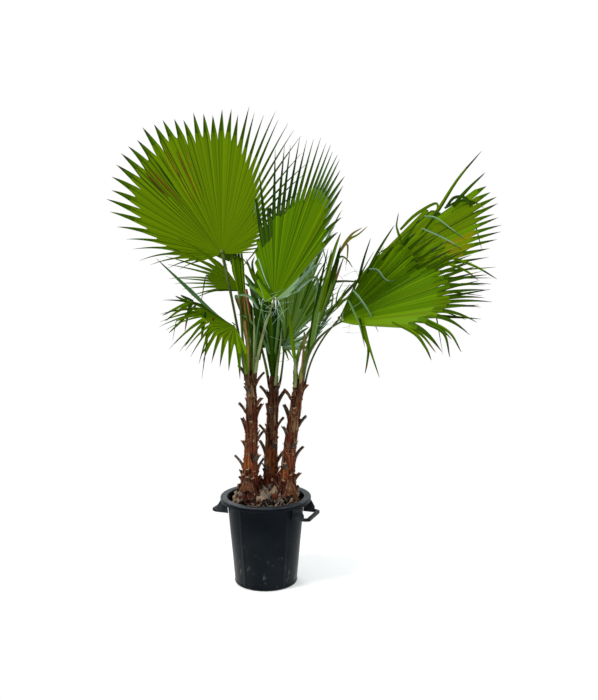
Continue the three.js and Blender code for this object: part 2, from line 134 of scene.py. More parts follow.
wire(
    paint,
    (spot.outputs["Object"], away.inputs[0]),
    (away.outputs["Value"], fade.inputs["Value"]),
    (fade.outputs["Result"], blend.inputs[0]),
    (lit.outputs[0], blend.inputs[1]),
    (bare.outputs[0], blend.inputs[2]),
    (blend.outputs[0], paint.nodes["Material Output"].inputs["Surface"]),
)
floor_mesh.materials.append(pale)

# ---- The pot --------------------------------------------------------------------------------------------
# A black polypropylene nursery pot, injection moulded in one piece: a tapering wall with shallow panels, and
# a broad rolled rim with a skirt that stacks on the next pot. Its foot is dusty and scuffed.
MM = 0.001
pot_height = 390
pot_base = 139
pot_top = 173
pot_wall = 4
pot_floor = 5
rim_outer = 200
rim_step = 384  # where the rim leaves the wall
panel_edges = (-128, -56, 16, 88, 160)  # degrees about +Z, where two panels meet
panel_low, panel_high = 14, 352
panel_depth = 2.2


def wall_radius(z):
    return pot_base + (pot_top - pot_base) * z / pot_height


def make_piece(name, points, faces, materials, slots=None, smooth=None):
    """A mesh object at the origin from points in millimetres; each face may name its material's place."""
    mesh = bpy.data.meshes.new(name)
    mesh.from_pydata([(x * MM, y * MM, z * MM) for x, y, z in points], [], faces)
    for material in materials:
        mesh.materials.append(material)
    if slots:
        mesh.polygons.foreach_set("material_index", slots)
    if smooth is not None:
        mesh.shade_smooth()
        mesh.set_sharp_from_angle(angle=math.radians(smooth))
    mesh.update()
    piece = bpy.data.objects.new(name, mesh)
    scene.collection.objects.link(piece)
    return piece


def object_noise(material, scale, stretch=(1, 1, 1), detail=4.0):
    """A noise pattern on the piece's own coordinates, stretched along any axis."""
    nodes = material.node_tree.nodes
    place = nodes.new("ShaderNodeTexCoord")
    mapping = set_inputs(nodes.new("ShaderNodeMapping"), Scale=stretch)
    pattern = set_inputs(nodes.new("ShaderNodeTexNoise"), Scale=scale, Detail=detail)
    wire(
        material.node_tree,
        (place.outputs["Object"], mapping.inputs["Vector"]),
        (mapping.outputs["Vector"], pattern.inputs["Vector"]),
    )
    return pattern.outputs["Fac"]


def ramp(material, value, stops):
    nodes, links = material.node_tree.nodes, material.node_tree.links
    node = nodes.new("ShaderNodeValToRGB")
    band = node.color_ramp
    while len(band.elements) < len(stops):
        band.elements.new(0.5)
    for element, (at, colour) in zip(band.elements, stops):
        element.position = at
        element.color = (*colour, 1)
    links.new(value, node.inputs["Fac"])
    return node.outputs["Color"]


def tint(material, colour):
    surface = material.node_tree.nodes["Principled BSDF"]
    material.node_tree.links.new(colour, surface.inputs["Base Color"])


def relief(material, value, depth, reach=0.002):
    nodes, links = material.node_tree.nodes, material.node_tree.links
    bump = set_inputs(nodes.new("ShaderNodeBump"), Strength=depth, Distance=reach)
    links.new(value, bump.inputs["Height"])
    links.new(bump.outputs["Normal"], nodes["Principled BSDF"].inputs["Normal"])


def mix_colours(material, share, first, second):
    nodes, links = material.node_tree.nodes, material.node_tree.links
    mix = nodes.new("ShaderNodeMix")
    mix.data_type = "RGBA"
    links.new(share, mix.inputs["Factor"])
    links.new(first, mix.inputs["A"])
    links.new(second, mix.inputs["B"])
    return mix.outputs["Result"]


plastic = new_material("pot_plastic", (0.006, 0.008, 0.01), 0.34, 0.12)
set_inputs(plastic.node_tree.nodes["Principled BSDF"], Specular_Tint=(0.68, 0.84, 1, 1))
cloud_stops = [(0.35, (0.0015, 0.0025, 0.0035)), (0.7, (0.006, 0.0075, 0.009))]
clouds = ramp(plastic, object_noise(plastic, 9), cloud_stops)
scuffs = ramp(plastic, object_noise(plastic, 46, (1, 1, 0.5), 9), [(0.6, (0, 0, 0)), (0.72, (1, 1, 1))])
where = plastic.node_tree.nodes.new("ShaderNodeTexCoord")
apart = plastic.node_tree.nodes.new("ShaderNodeSeparateXYZ")
low = plastic.node_tree.nodes.new("ShaderNodeMapRange")
set_inputs(low, From_Min=0.0, From_Max=0.24, To_Min=0.75, To_Max=0.0)
worn = plastic.node_tree.nodes.new("ShaderNodeMath")
worn.operation = "MULTIPLY"
wire(
    plastic.node_tree,
    (where.outputs["Object"], apart.inputs["Vector"]),
    (apart.outputs["Z"], low.inputs["Value"]),
    (low.outputs["Result"], worn.inputs[0]),
    (scuffs, worn.inputs[1]),
)
chalk = ramp(plastic, object_noise(plastic, 120), [(0.0, (0.05, 0.055, 0.055)), (1.0, (0.2, 0.2, 0.19))])
tint(plastic, mix_colours(plastic, worn.outputs[0], clouds, chalk))
relief(plastic, object_noise(plastic, 700, detail=2), 0.12, 0.0006)
# The rim's faces take a lighter blue-grey plastic: a painted reflection of the pale sky on its glossy top,
# mottled in patches like dust and rubbing.
rim_sheen_plastic = new_material("rim_sheen_plastic", (0.014, 0.02, 0.027), 0.42, 0.35)
rub_and_sheen_stops = [(0.4, (0.009, 0.013, 0.018)), (0.75, (0.04, 0.052, 0.064))]
tint(rim_sheen_plastic, ramp(rim_sheen_plastic, object_noise(rim_sheen_plastic, 26, detail=7), rub_and_sheen_stops))

outside = [
    (0, 0),
    (pot_base - 8, 0),
    (pot_base - 5, 0.8),
    (pot_base - 2, 2.6),
    (pot_base - 0.3, 5.6),
    (wall_radius(9), 9),
]
outside += [(wall_radius(z), z) for z in (14, 20, 40, 90, 140, 190, 240, 290, 330, 352)]
outside += [
    (wall_radius(369), 369),
    (wall_radius(rim_step), rim_step),
    (rim_outer - pot_wall, rim_step),
    (rim_outer - pot_wall, 371.5),
    (rim_outer - pot_wall + 1, 370),
    (rim_outer - 1.6, 370),
    (rim_outer - 0.8, 371.5),
    (rim_outer, rim_step),
    (rim_outer - 0.6, 387),
    (rim_outer - 2.4, 389.2),
    (rim_outer - 5, 390),
    (rim_outer - 9, 389.2),
    (pot_top + 5, 389),
    (pot_top + 1, 389.7),
    (pot_top - 1.5, 389),
    (pot_top - 3.4, 387),
    (wall_radius(380) - pot_wall, 380),
]
outside += [(wall_radius(z) - pot_wall, z) for z in (340, 200, 60, pot_floor)]
outside += [(0, pot_floor)]
pot_sides = 180
pot_points, pot_faces, pot_slots = [(0, 0, 0)], [], []
rings = outside[1:-1]
for radius, z in rings:
    for i in range(pot_sides):
        degrees = -180 + 360 * i / pot_sides
        near = min(abs((degrees - edge + 180) % 360 - 180) for edge in panel_edges)
        on_panel = panel_low <= z <= panel_high and abs(radius - wall_radius(z)) < 0.1
        hollow = panel_depth * min(1, max(0, (near - 1) / 2.5)) if on_panel else 0
        a = math.radians(degrees)
        pot_points.append(((radius - hollow) * math.cos(a), (radius - hollow) * math.sin(a), z))
pot_points.append((0, 0, pot_floor))
for i in range(pot_sides):
    j = (i + 1) % pot_sides
    pot_faces.append((0, 1 + j, 1 + i))
    pot_slots.append(0)
    for k in range(len(rings) - 1):
        a = 1 + k * pot_sides
        b = a + pot_sides
        pot_faces.append((a + i, a + j, b + j, b + i))
        on_rim = rings[k][1] >= rim_step and rings[k + 1][0] > wall_radius(pot_height) - pot_wall
        pot_slots.append(1 if on_rim else 0)
    last = 1 + (len(rings) - 1) * pot_sides
    pot_faces.append((last + i, last + j, len(pot_points) - 1))
    pot_slots.append(0)
pot = make_piece("nursery_pot", pot_points, pot_faces, [plastic, rim_sheen_plastic], pot_slots, 35)
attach(pot, "root")
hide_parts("pot")

# ---- The handles ----------------------------------------------------------------------------------------
# Two moulded grips under the rim, each a pair of gussets and a bar that a hand closes round. The plastic is
# rubbed grey in patches, and the moulding's edges are rounded.
rubbed = new_material("rubbed_plastic", (0.01, 0.012, 0.014), 0.4, 0.2)
grip_stops = [(0.4, (0.004, 0.0055, 0.007)), (0.7, (0.04, 0.046, 0.05))]
rub = ramp(rubbed, object_noise(rubbed, 30, detail=6), grip_stops)
tint(rubbed, rub)
relief(rubbed, object_noise(rubbed, 600, detail=2), 0.15, 0.0006)
for side in ("right", "left"):
    shell = bmesh.new()
    shell.from_mesh(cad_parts["handle_" + side].data)
    bmesh.ops.remove_doubles(shell, verts=shell.verts, dist=1e-5)
    bmesh.ops.dissolve_limit(shell, angle_limit=math.radians(2), verts=shell.verts, edges=shell.edges)
    bmesh.ops.recalc_face_normals(shell, faces=shell.faces)
    mesh = bpy.data.meshes.new("grip_" + side)
    shell.to_mesh(mesh)
    shell.free()
    mesh.materials.clear()
    mesh.materials.append(rubbed)
    grip = bpy.data.objects.new("grip_" + side, mesh)
    scene.collection.objects.link(grip)
    rounding = grip.modifiers.new("rounding", "BEVEL")
    rounding.width = 0.0022
    rounding.segments = 2
    rounding.limit_method = "ANGLE"
    rounding.angle_limit = math.radians(35)
    mesh.shade_smooth()
    mesh.set_sharp_from_angle(angle=math.radians(50))
    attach(grip, "root")
    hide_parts("handle_" + side)

# ---- The potting mix and the litter on it ---------------------------------------------------------------
# The pot is filled with damp dark mix. On it lies a mound of what has dropped from the stems: curled scraps
# of leaf base, splinters and shreds, tan, grey and red-brown. The mound is heaped up round each stem's foot.
soil_top = 340
soil_gap = 0.4
litter_radius = 160
litter_edge = 12
litter_rise = 42
soil = new_material("potting_mix", (0.03, 0.02, 0.014), 0.95, 0.2)
crumb_stops = [(0.3, (0.012, 0.008, 0.006)), (0.7, (0.06, 0.042, 0.03))]
tint(soil, ramp(soil, object_noise(soil, 160, detail=8), crumb_stops))
relief(soil, object_noise(soil, 220, detail=6), 0.7, 0.003)
root_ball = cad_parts["root_ball"]
root_ball.data.materials.clear()
root_ball.data.materials.append(soil)


def mound_height(share, angle):
    ripple = math.sin(5 * angle + 9 * share) * math.cos(3 * angle - 7 * share)
    rise = litter_rise * (1 - share * share)
    return soil_top + soil_gap + litter_edge + rise + 6 * (1 - 0.6 * share) * ripple


stem_feet = ((-76, -30), (22, 52), (90, -20))
mound_points, mound_faces = [], []
mound_rings, mound_sides = 26, 96
for k in range(mound_rings + 1):
    share = 1 - k / (mound_rings + 0.5)
    for i in range(mound_sides):
        a = 2 * math.pi * i / mound_sides
        x, y = litter_radius * share * math.cos(a), litter_radius * share * math.sin(a)
        lump = 4.5 * noise.noise(Vector((x, y, 0)) * 0.045) + 2.5 * noise.noise(Vector((x, y, 9)) * 0.12)
        for foot in stem_feet:
            off = math.hypot(x - foot[0], y - foot[1]) / 48
            lump += 22 * math.exp(-(off**4)) * min(1, (1 - share) * 4)
        mound_points.append((x, y, mound_height(share, a) + lump - 1))
for i in range(mound_sides):
    a = 2 * math.pi * i / mound_sides
    mound_points.append((litter_radius * math.cos(a), litter_radius * math.sin(a), soil_top + 0.5))
skirt = (mound_rings + 1) * mound_sides
for i in range(mound_sides):
    j = (i + 1) % mound_sides
    mound_faces.append((skirt + i, skirt + j, j, i))
    for k in range(mound_rings):
        a = k * mound_sides
        mound_faces.append((a + i, a + j, a + mound_sides + j, a + mound_sides + i))
mound_faces.append(tuple(mound_rings * mound_sides + i for i in range(mound_sides)))
mound_faces.append(tuple(skirt + i for i in reversed(range(mound_sides))))
litter_bed = new_material("litter_bed", (0.06, 0.04, 0.028), 0.95, 0.2)
bed = ramp(
    litter_bed,
    object_noise(litter_bed, 70, detail=8),
    [(0.3, (0.01, 0.006, 0.005)), (0.55, (0.05, 0.028, 0.018)), (0.75, (0.16, 0.1, 0.065))],
)
tint(litter_bed, bed)
relief(litter_bed, object_noise(litter_bed, 110, detail=8), 1.0, 0.005)
mound = make_piece("litter_mound", mound_points, mound_faces, [litter_bed], smooth=60)
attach(mound, "root")
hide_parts("litter")

# Each kind of scrap is one curled strip; a node tree strews it over the mound. For each: its colour, length,
# width and curl, how densely it lies, how far out it goes (m) and its largest scale.
strew_density = 12.0
strew_lean = 0.95
scrap_kinds = {
    "tan": ((0.42, 0.31, 0.21), 90, 22, 1.5, 95, 0.128, 1.15),
    "grey": ((0.29, 0.23, 0.185), 104, 32, 1.2, 135, 0.128, 1.15),
    "red": ((0.13, 0.034, 0.016), 105, 34, 1.1, 60, 0.128, 1.15),
    "dark": ((0.022, 0.013, 0.01), 80, 26, 1.1, 110, 0.128, 1.15),
    "straw": ((0.55, 0.44, 0.3), 84, 3.4, 1.9, 100, 0.134, 1.1),
    "shreds": ((0.3, 0.21, 0.15), 62, 15, 1.4, 170, 0.152, 0.75),
}


def scatter_tree():
    """Strews copies of one scrap over the upward faces of a surface. Its inputs are the scrap, how many to
    the square metre, the seed, the material (Finish), how far a copy tips (Lean), how far from the axis it
    may lie (Within) and its largest scale (Largest). The copies are realized and then given the material."""
    tree = bpy.data.node_groups.new("strew_scraps", "GeometryNodeTree")
    ins = {}
    for label, kind in (
        ("Geometry", "NodeSocketGeometry"),
        ("Scrap", "NodeSocketObject"),
        ("Density", "NodeSocketFloat"),
        ("Seed", "NodeSocketInt"),
        ("Finish", "NodeSocketMaterial"),
        ("Lean", "NodeSocketFloat"),
        ("Within", "NodeSocketFloat"),
        ("Largest", "NodeSocketFloat"),
    ):
        ins[label] = tree.interface.new_socket(name=label, in_out="INPUT", socket_type=kind).identifier
    tree.interface.new_socket(name="Geometry", in_out="OUTPUT", socket_type="NodeSocketGeometry")
    nodes, links = tree.nodes, tree.links
    given = nodes.new("NodeGroupInput")
    out = nodes.new("NodeGroupOutput")
    points = nodes.new("GeometryNodeDistributePointsOnFaces")
    facing = nodes.new("GeometryNodeInputNormal")
    upright = nodes.new("ShaderNodeSeparateXYZ")
    top_only = nodes.new("FunctionNodeCompare")
    top_only.inputs[1].default_value = 0.3
    spot = nodes.new("GeometryNodeInputPosition")
    level = nodes.new("ShaderNodeVectorMath")
    level.operation = "MULTIPLY"
    level.inputs[1].default_value = (1, 1, 0)
    away = nodes.new("ShaderNodeVectorMath")
    away.operation = "LENGTH"
    well_in = nodes.new("FunctionNodeCompare")
    well_in.operation = "LESS_THAN"
    both = nodes.new("FunctionNodeBooleanMath")
    links.new(spot.outputs[0], level.inputs[0])
    links.new(level.outputs["Vector"], away.inputs[0])
    links.new(away.outputs["Value"], well_in.inputs[0])
    links.new(given.outputs["Within"], well_in.inputs[1])
    links.new(top_only.outputs[0], both.inputs[0])
    links.new(well_in.outputs[0], both.inputs[1])
    source = nodes.new("GeometryNodeObjectInfo")
    copies = nodes.new("GeometryNodeInstanceOnPoints")
    turn = nodes.new("FunctionNodeRandomValue")
    turn.data_type = "FLOAT_VECTOR"
    size = nodes.new("FunctionNodeRandomValue")
    real = nodes.new("GeometryNodeRealizeInstances")
    finish = nodes.new("GeometryNodeSetMaterial")
    low_turn = nodes.new("ShaderNodeCombineXYZ")
    high_turn = nodes.new("ShaderNodeCombineXYZ")
    less = nodes.new("ShaderNodeMath")
    less.operation = "MULTIPLY"
    less.inputs[1].default_value = -1.0
    links.new(given.outputs["Lean"], less.inputs[0])
    for end, lean in ((low_turn, less.outputs[0]), (high_turn, given.outputs["Lean"])):
        links.new(lean, end.inputs["X"])
        links.new(lean, end.inputs["Y"])
    low_turn.inputs["Z"].default_value = 0.0
    high_turn.inputs["Z"].default_value = 6.283
    links.new(low_turn.outputs[0], turn.inputs[0])
    links.new(high_turn.outputs[0], turn.inputs[1])
    size.inputs[2].default_value = 0.4
    links.new(given.outputs["Largest"], size.inputs[3])
    links.new(given.outputs["Geometry"], points.inputs["Mesh"])
    links.new(facing.outputs[0], upright.inputs[0])
    links.new(upright.outputs["Z"], top_only.inputs[0])
    links.new(both.outputs[0], points.inputs["Selection"])
    links.new(given.outputs["Density"], points.inputs["Density"])
    links.new(given.outputs["Seed"], points.inputs["Seed"])
    links.new(given.outputs["Seed"], turn.inputs["Seed"])
    links.new(given.outputs["Seed"], size.inputs["Seed"])
    links.new(given.outputs["Scrap"], source.inputs["Object"])
    links.new(points.outputs["Points"], copies.inputs["Points"])
    links.new(source.outputs["Geometry"], copies.inputs["Instance"])
    links.new(turn.outputs[0], copies.inputs["Rotation"])
    links.new(size.outputs[1], copies.inputs["Scale"])
    links.new(copies.outputs[0], real.inputs[0])
    links.new(real.outputs[0], finish.inputs["Geometry"])
    links.new(given.outputs["Finish"], finish.inputs["Material"])
    links.new(finish.outputs[0], out.inputs[0])
    return tree, ins


def curled_strip(name, length, width, curl, material):
    """A dry strip, seven stations long and three points wide, ragged at both ends and rolled along itself."""
    points, faces = [], []
    for k in range(7):
        s = k / 6
        a = (s - 0.5) * curl
        x = math.sin(a) / curl * length
        z = (1 - math.cos(a)) / curl * length
        half = width / 2 * (0.35 + 0.65 * math.sin(math.pi * (0.15 + 0.75 * s)))
        for c in (-1, 0, 1):
            points.append((x + c * 2, c * half, z + abs(c) * width * 0.16))
            points.append((x + c * 2, c * half, z + abs(c) * width * 0.16 - 1.2))
    for k in range(6):
        a, b = k * 6, k * 6 + 6
        for c in (0, 2):
            faces.append((a + c, b + c, b + c + 2, a + c + 2))
            faces.append((a + c + 1, a + c + 3, b + c + 3, b + c + 1))
        faces.append((a, a + 1, b + 1, b))
        faces.append((a + 4, b + 4, b + 5, a + 5))
    faces += [(0, 2, 3, 1), (2, 4, 5, 3), (36, 37, 39, 38), (38, 39, 41, 40)]
    return make_piece(name, points, faces, [material], smooth=60)


def plain_copy(name, worked):
    """The evaluated shape of an object as a plain mesh object."""
    seen_now = worked.evaluated_get(bpy.context.evaluated_depsgraph_get())
    mesh = bpy.data.meshes.new_from_object(seen_now)
    mesh.name = name
    piece = bpy.data.objects.new(name, mesh)
    scene.collection.objects.link(piece)
    return piece


strew, strew_inputs = scatter_tree()
for seed, (kind, (colour, length, width, curl, count, within, largest)) in enumerate(scrap_kinds.items()):
    dry = new_material("scrap_" + kind, colour, 0.85, 0.25)
    scrap = curled_strip("one_scrap_" + kind, length, width, curl, dry)
    carrier = bpy.data.objects.new("carrier", mound.data)
    scene.collection.objects.link(carrier)
    strewn = carrier.modifiers.new("strew", "NODES")
    strewn.node_group = strew
    strewn[strew_inputs["Scrap"]] = scrap
    strewn[strew_inputs["Density"]] = count * strew_density
    strewn[strew_inputs["Seed"]] = seed + 3
    strewn[strew_inputs["Finish"]] = dry
    strewn[strew_inputs["Lean"]] = strew_lean
    strewn[strew_inputs["Within"]] = within
    strewn[strew_inputs["Largest"]] = largest
    scraps = plain_copy("litter_" + kind, carrier)
    bpy.data.objects.remove(carrier)
    bpy.data.objects.remove(scrap)
    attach(scraps, "root")

# ---- The stems ------------------------------------------------------------------------------------------
# Slim fibrous trunks that widen at the foot. Their wood is hidden by the sheaths of old leaves, each a plate
# that wraps the stem and ends torn or in a cut stub of leaf stalk, with tan fibre between them.
golden_angle = 137.5
core_seat = 0.94  # the core's radius as a share of the stem's
sheath_seat = 0.97  # where the sheaths sit, as the same share
stems = {
    "left": dict(
        foot=stem_feet[0], head=(-62, -30), top=950, bow=9, radii=(41, 18), boots=17, turn=120, none=()
    ),
    "middle": dict(
        foot=stem_feet[1], head=(38, 52), top=915, bow=-5, radii=(37, 19), boots=15, turn=320, none=(0,)
    ),
    "right": dict(
        foot=stem_feet[2], head=(146, -18), top=915, bow=-8, radii=(38, 20), boots=16, turn=200, none=(2, 5)
    ),
}


def lerp(a, b, t):
    return a + (b - a) * t


def stem_centre(stem, t):
    gentle = t * t * (3 - 2 * t)
    x = lerp(stem["foot"][0], stem["head"][0], lerp(t, gentle, 0.6)) + math.sin(math.pi * t) * stem["bow"]
    y = lerp(stem["foot"][1], stem["head"][1], t)
    return Vector((x, y, lerp(soil_top + soil_gap, stem["top"], t)))


def stem_radius(stem, t):
    flare = 0.22 * math.exp(-t * (stem["top"] - soil_top) / 70)
    return lerp(*stem["radii"], max(t, 0) ** 0.6) * (1 + flare)


def slab(piece, rows, ups, thicks, tone):
    """Adds a closed thin solid to piece, a dict of points, faces and slots: rows of equally many points, the
    way each row faces (one for the row, or one for each point), and how thick it is. tone(row, column, side)
    gives a face's material."""
    points, faces, slots = piece["points"], piece["faces"], piece["slots"]
    base = len(points)
    width = len(rows[0])
    for row, up, thick in zip(rows, ups, thicks):
        each = up if isinstance(up, list) else [up] * width
        for point, way in zip(row, each):
            points.append(tuple(point + way * (thick / 2)))
            points.append(tuple(point - way * (thick / 2)))
    step = width * 2
    for k in range(len(rows) - 1):
        a = base + k * step
        b = a + step
        for c in range(width - 1):
            p, q = a + c * 2, b + c * 2
            faces.append((p, q, q + 2, p + 2))
            slots.append(tone(k, c, "upper"))
            faces.append((p + 1, p + 3, q + 3, q + 1))
            slots.append(tone(k, c, "under"))
        faces.append((a, a + 1, b + 1, b))
        slots.append(tone(k, 0, "edge"))
        p, q = a + step - 2, b + step - 2
        faces.append((p, q, q + 1, p + 1))
        slots.append(tone(k, width - 2, "edge"))
    end = base + (len(rows) - 1) * step
    for c in range(width - 1):
        faces.append((base + c * 2, base + c * 2 + 2, base + c * 2 + 3, base + c * 2 + 1))
        slots.append(tone(0, c, "end"))
        faces.append((end + c * 2, end + c * 2 + 1, end + c * 2 + 3, end + c * 2 + 2))
        slots.append(tone(len(rows) - 2, c, "end"))


def blank():
    return {"points": [], "faces": [], "slots": []}


bark = new_material("stem_bark", (0.1, 0.05, 0.03), 0.9, 0.08)
fibres = object_noise(bark, 95, (1, 1, 0.09), 7)
bark_stops = [
    (0.28, (0.01, 0.005, 0.004)),
    (0.46, (0.05, 0.02, 0.012)),
    (0.62, (0.11, 0.045, 0.024)),
    (0.8, (0.24, 0.15, 0.09)),
]
tint(bark, ramp(bark, fibres, bark_stops))
relief(bark, fibres, 0.9, 0.004)


def sheath_material(name, dark, middle, pale):
    made = new_material(name, middle, 0.8, 0.08)
    grain = object_noise(made, 120, (1, 1, 0.07), 6)
    tint(made, ramp(made, grain, [(0.3, dark), (0.52, middle), (0.75, pale)]))
    relief(made, grain, 0.6, 0.002)
    return made


sheaths = [
    sheath_material("sheath_orange", (0.075, 0.016, 0.005), (0.215, 0.052, 0.013), (0.42, 0.165, 0.06)),
    sheath_material("sheath_red", (0.04, 0.008, 0.004), (0.135, 0.031, 0.013), (0.3, 0.1, 0.043)),
    sheath_material("sheath_brown", (0.03, 0.012, 0.006), (0.13, 0.05, 0.022), (0.32, 0.17, 0.09)),
    sheath_material("sheath_tan", (0.13, 0.065, 0.028), (0.28, 0.16, 0.075), (0.48, 0.33, 0.19)),
    sheath_material("stub_grey", (0.03, 0.018, 0.012), (0.1, 0.066, 0.046), (0.27, 0.2, 0.15)),
    new_material("stub_cut", (0.34, 0.22, 0.13), 0.85, 0.1),
    new_material("fibre_tan", (0.42, 0.27, 0.13), 0.9, 0.05),
    sheath_material("sheath_dark", (0.022, 0.006, 0.004), (0.075, 0.02, 0.012), (0.2, 0.085, 0.05)),
]
ORANGE, RED, BROWN, TAN, GREY, CUT, FIBRE, DARK = range(8)


def ring_faces(base, rings, sides):
    """The faces of a closed tube whose rings of points start at base: its sides, then its two ends."""
    faces = []
    for k in range(rings):
        for i in range(sides):
            j, a = (i + 1) % sides, base + k * sides
            faces.append((a + i, a + j, a + sides + j, a + sides + i))
    faces.append(tuple(base + i for i in reversed(range(sides))))
    faces.append(tuple(base + rings * sides + i for i in range(sides)))
    return faces


def stem_core(name, stem):
    """The trunk under the sheaths, with upright ribs of fibre as relief."""
    rounds, sides = 130, 60
    points = []
    for k in range(rounds + 1):
        t = k / rounds
        centre, radius = stem_centre(stem, t), stem_radius(stem, t)
        for i in range(sides):
            a = 2 * math.pi * i / sides
            place = Vector((math.cos(a) * 3.2, math.sin(a) * 3.2, centre.z * 0.011 + stem["turn"]))
            fine = Vector((math.cos(a) * 9, math.sin(a) * 9, centre.z * 0.03))
            r = radius * core_seat + 3.2 * noise.noise(place) + 1.6 * noise.noise(fine)
            points.append((centre.x + r * math.cos(a), centre.y + r * math.sin(a), centre.z))
    return make_piece("stem_" + name, points, ring_faces(0, rounds, sides), [bark], smooth=70)


def old_leaf(piece, stem, t, azimuth, drop, wrap, stub, tones, rng, flare=0.0):
    """One old leaf base: a sheath that hugs the stem for the length drop below level t and is wrap degrees
    wide each way at its foot. It narrows to a neck and bends out as a stub, or ends torn where stub is 0.
    flare is how far its foot stands off the stem."""
    out = Vector((math.cos(azimuth), math.sin(azimuth), 0))
    across = Vector((-out.y, out.x, 0))
    columns = [c / 3 for c in range(-3, 4)]
    span = stem["top"] - soil_top
    layer = rng.uniform(0.2, 1.8)
    neck = 22 if stub else rng.uniform(9, 16)
    rows, ups, thicks = [], [], []
    sheath_rows = 6
    for k in range(sheath_rows):
        s = k / (sheath_rows - 1)
        level = max(0.002, t - (1 - s) * drop / span)
        centre, radius = stem_centre(stem, level), stem_radius(stem, level)
        half = math.radians(lerp(wrap, neck, s**1.2))
        row, up = [], []
        for c in columns:
            a = azimuth + c * half
            way = Vector((math.cos(a), math.sin(a), 0))
            curl = 2.4 * abs(c) ** 3 * rng.uniform(0, 1)
            ragged = rng.uniform(-7, 7) if k == 0 else rng.uniform(-1.5, 1.5)
            off = radius * sheath_seat + layer + curl + flare * (1 - s) ** 1.3
            row.append(centre + way * off + Vector((0, 0, ragged)))
            up.append(way)
        rows.append(row)
        ups.append(up)
        thicks.append(lerp(1.4, 4, s**2) if stub else 1.5)
    at = stem_centre(stem, t) + out * (stem_radius(stem, t) * sheath_seat + layer)
    reach = stub or rng.uniform(8, 26)
    steps = 5 if stub else 3
    start_half = (stem_radius(stem, t) + layer) * math.sin(math.radians(neck))
    bow = rng.uniform(-0.25, 0.25)
    twist = math.radians(rng.uniform(-40, 40)) if stub else 0
    for k in range(1, steps + 1):
        s = k / steps
        rise = math.radians(lerp(76, 44, s**0.9) if stub else lerp(84, 62, s))
        along = out * math.cos(rise) + Vector((0, 0, math.sin(rise))) + across * (bow * s)
        normal = (out * math.sin(rise) - Vector((0, 0, math.cos(rise)))).normalized()
        at = at + along * (reach / steps)
        half = lerp(max(start_half, 11), 8, s) if stub else lerp(start_half, 1.5, s)
        turned = Matrix.Rotation(twist * s, 3, along.normalized())
        sideways, face = turned @ across, turned @ normal
        row = []
        for c in columns:
            torn = rng.uniform(-3, 3) * (1 if stub else 2.5) if k == steps else 0
            row.append(at + sideways * (half * c) + face * (4 * (0.5 - abs(c) ** 1.6)) + along * torn)
        rows.append(row)
        ups.append([face] * len(columns))
        thicks.append(lerp(7.5, 6, s) if stub else 1.4)

    def tone(k, c, side):
        if side == "end" and k >= sheath_rows:
            return CUT if stub else tones[0]
        return tones[0] if k < sheath_rows else tones[1]

    slab(piece, rows, ups, thicks, tone)


def smooth_path(knots, steps):
    """A curve through the knots, evenly stepped between them."""
    made = []
    ends = [knots[0] * 2 - knots[1], *knots, knots[-1] * 2 - knots[-2]]
    spans = len(knots) - 1
    for k in range(steps + 1):
        u = k / steps * spans
        i = min(int(u), spans - 1)
        s = u - i
        p0, p1, p2, p3 = ends[i : i + 4]
        bend = (2 * p0 - 5 * p1 + 4 * p2 - p3) * s * s + (3 * p1 - p0 - 3 * p2 + p3) * s * s * s
        made.append(0.5 * (2 * p1 + (p2 - p0) * s + bend))
    return made


def tube(piece, path, radii, sides, tone):
    """Adds a closed round strand along path; radii are its first and last radius."""
    points = piece["points"]
    base, last = len(points), len(path) - 1
    for k, centre in enumerate(path):
        tangent = (path[min(k + 1, last)] - path[max(k - 1, 0)]).normalized()
        across = tangent.orthogonal() if k == 0 else across - tangent * tangent.dot(across)
        across.normalize()
        deep = tangent.cross(across)
        r = lerp(*radii, k / last)
        for i in range(sides):
            a = 2 * math.pi * i / sides
            points.append(tuple(centre + across * (r * math.cos(a)) + deep * (r * math.sin(a))))
    piece["faces"] += ring_faces(base, last, sides)
    piece["slots"] += [tone] * (last * sides + 2)


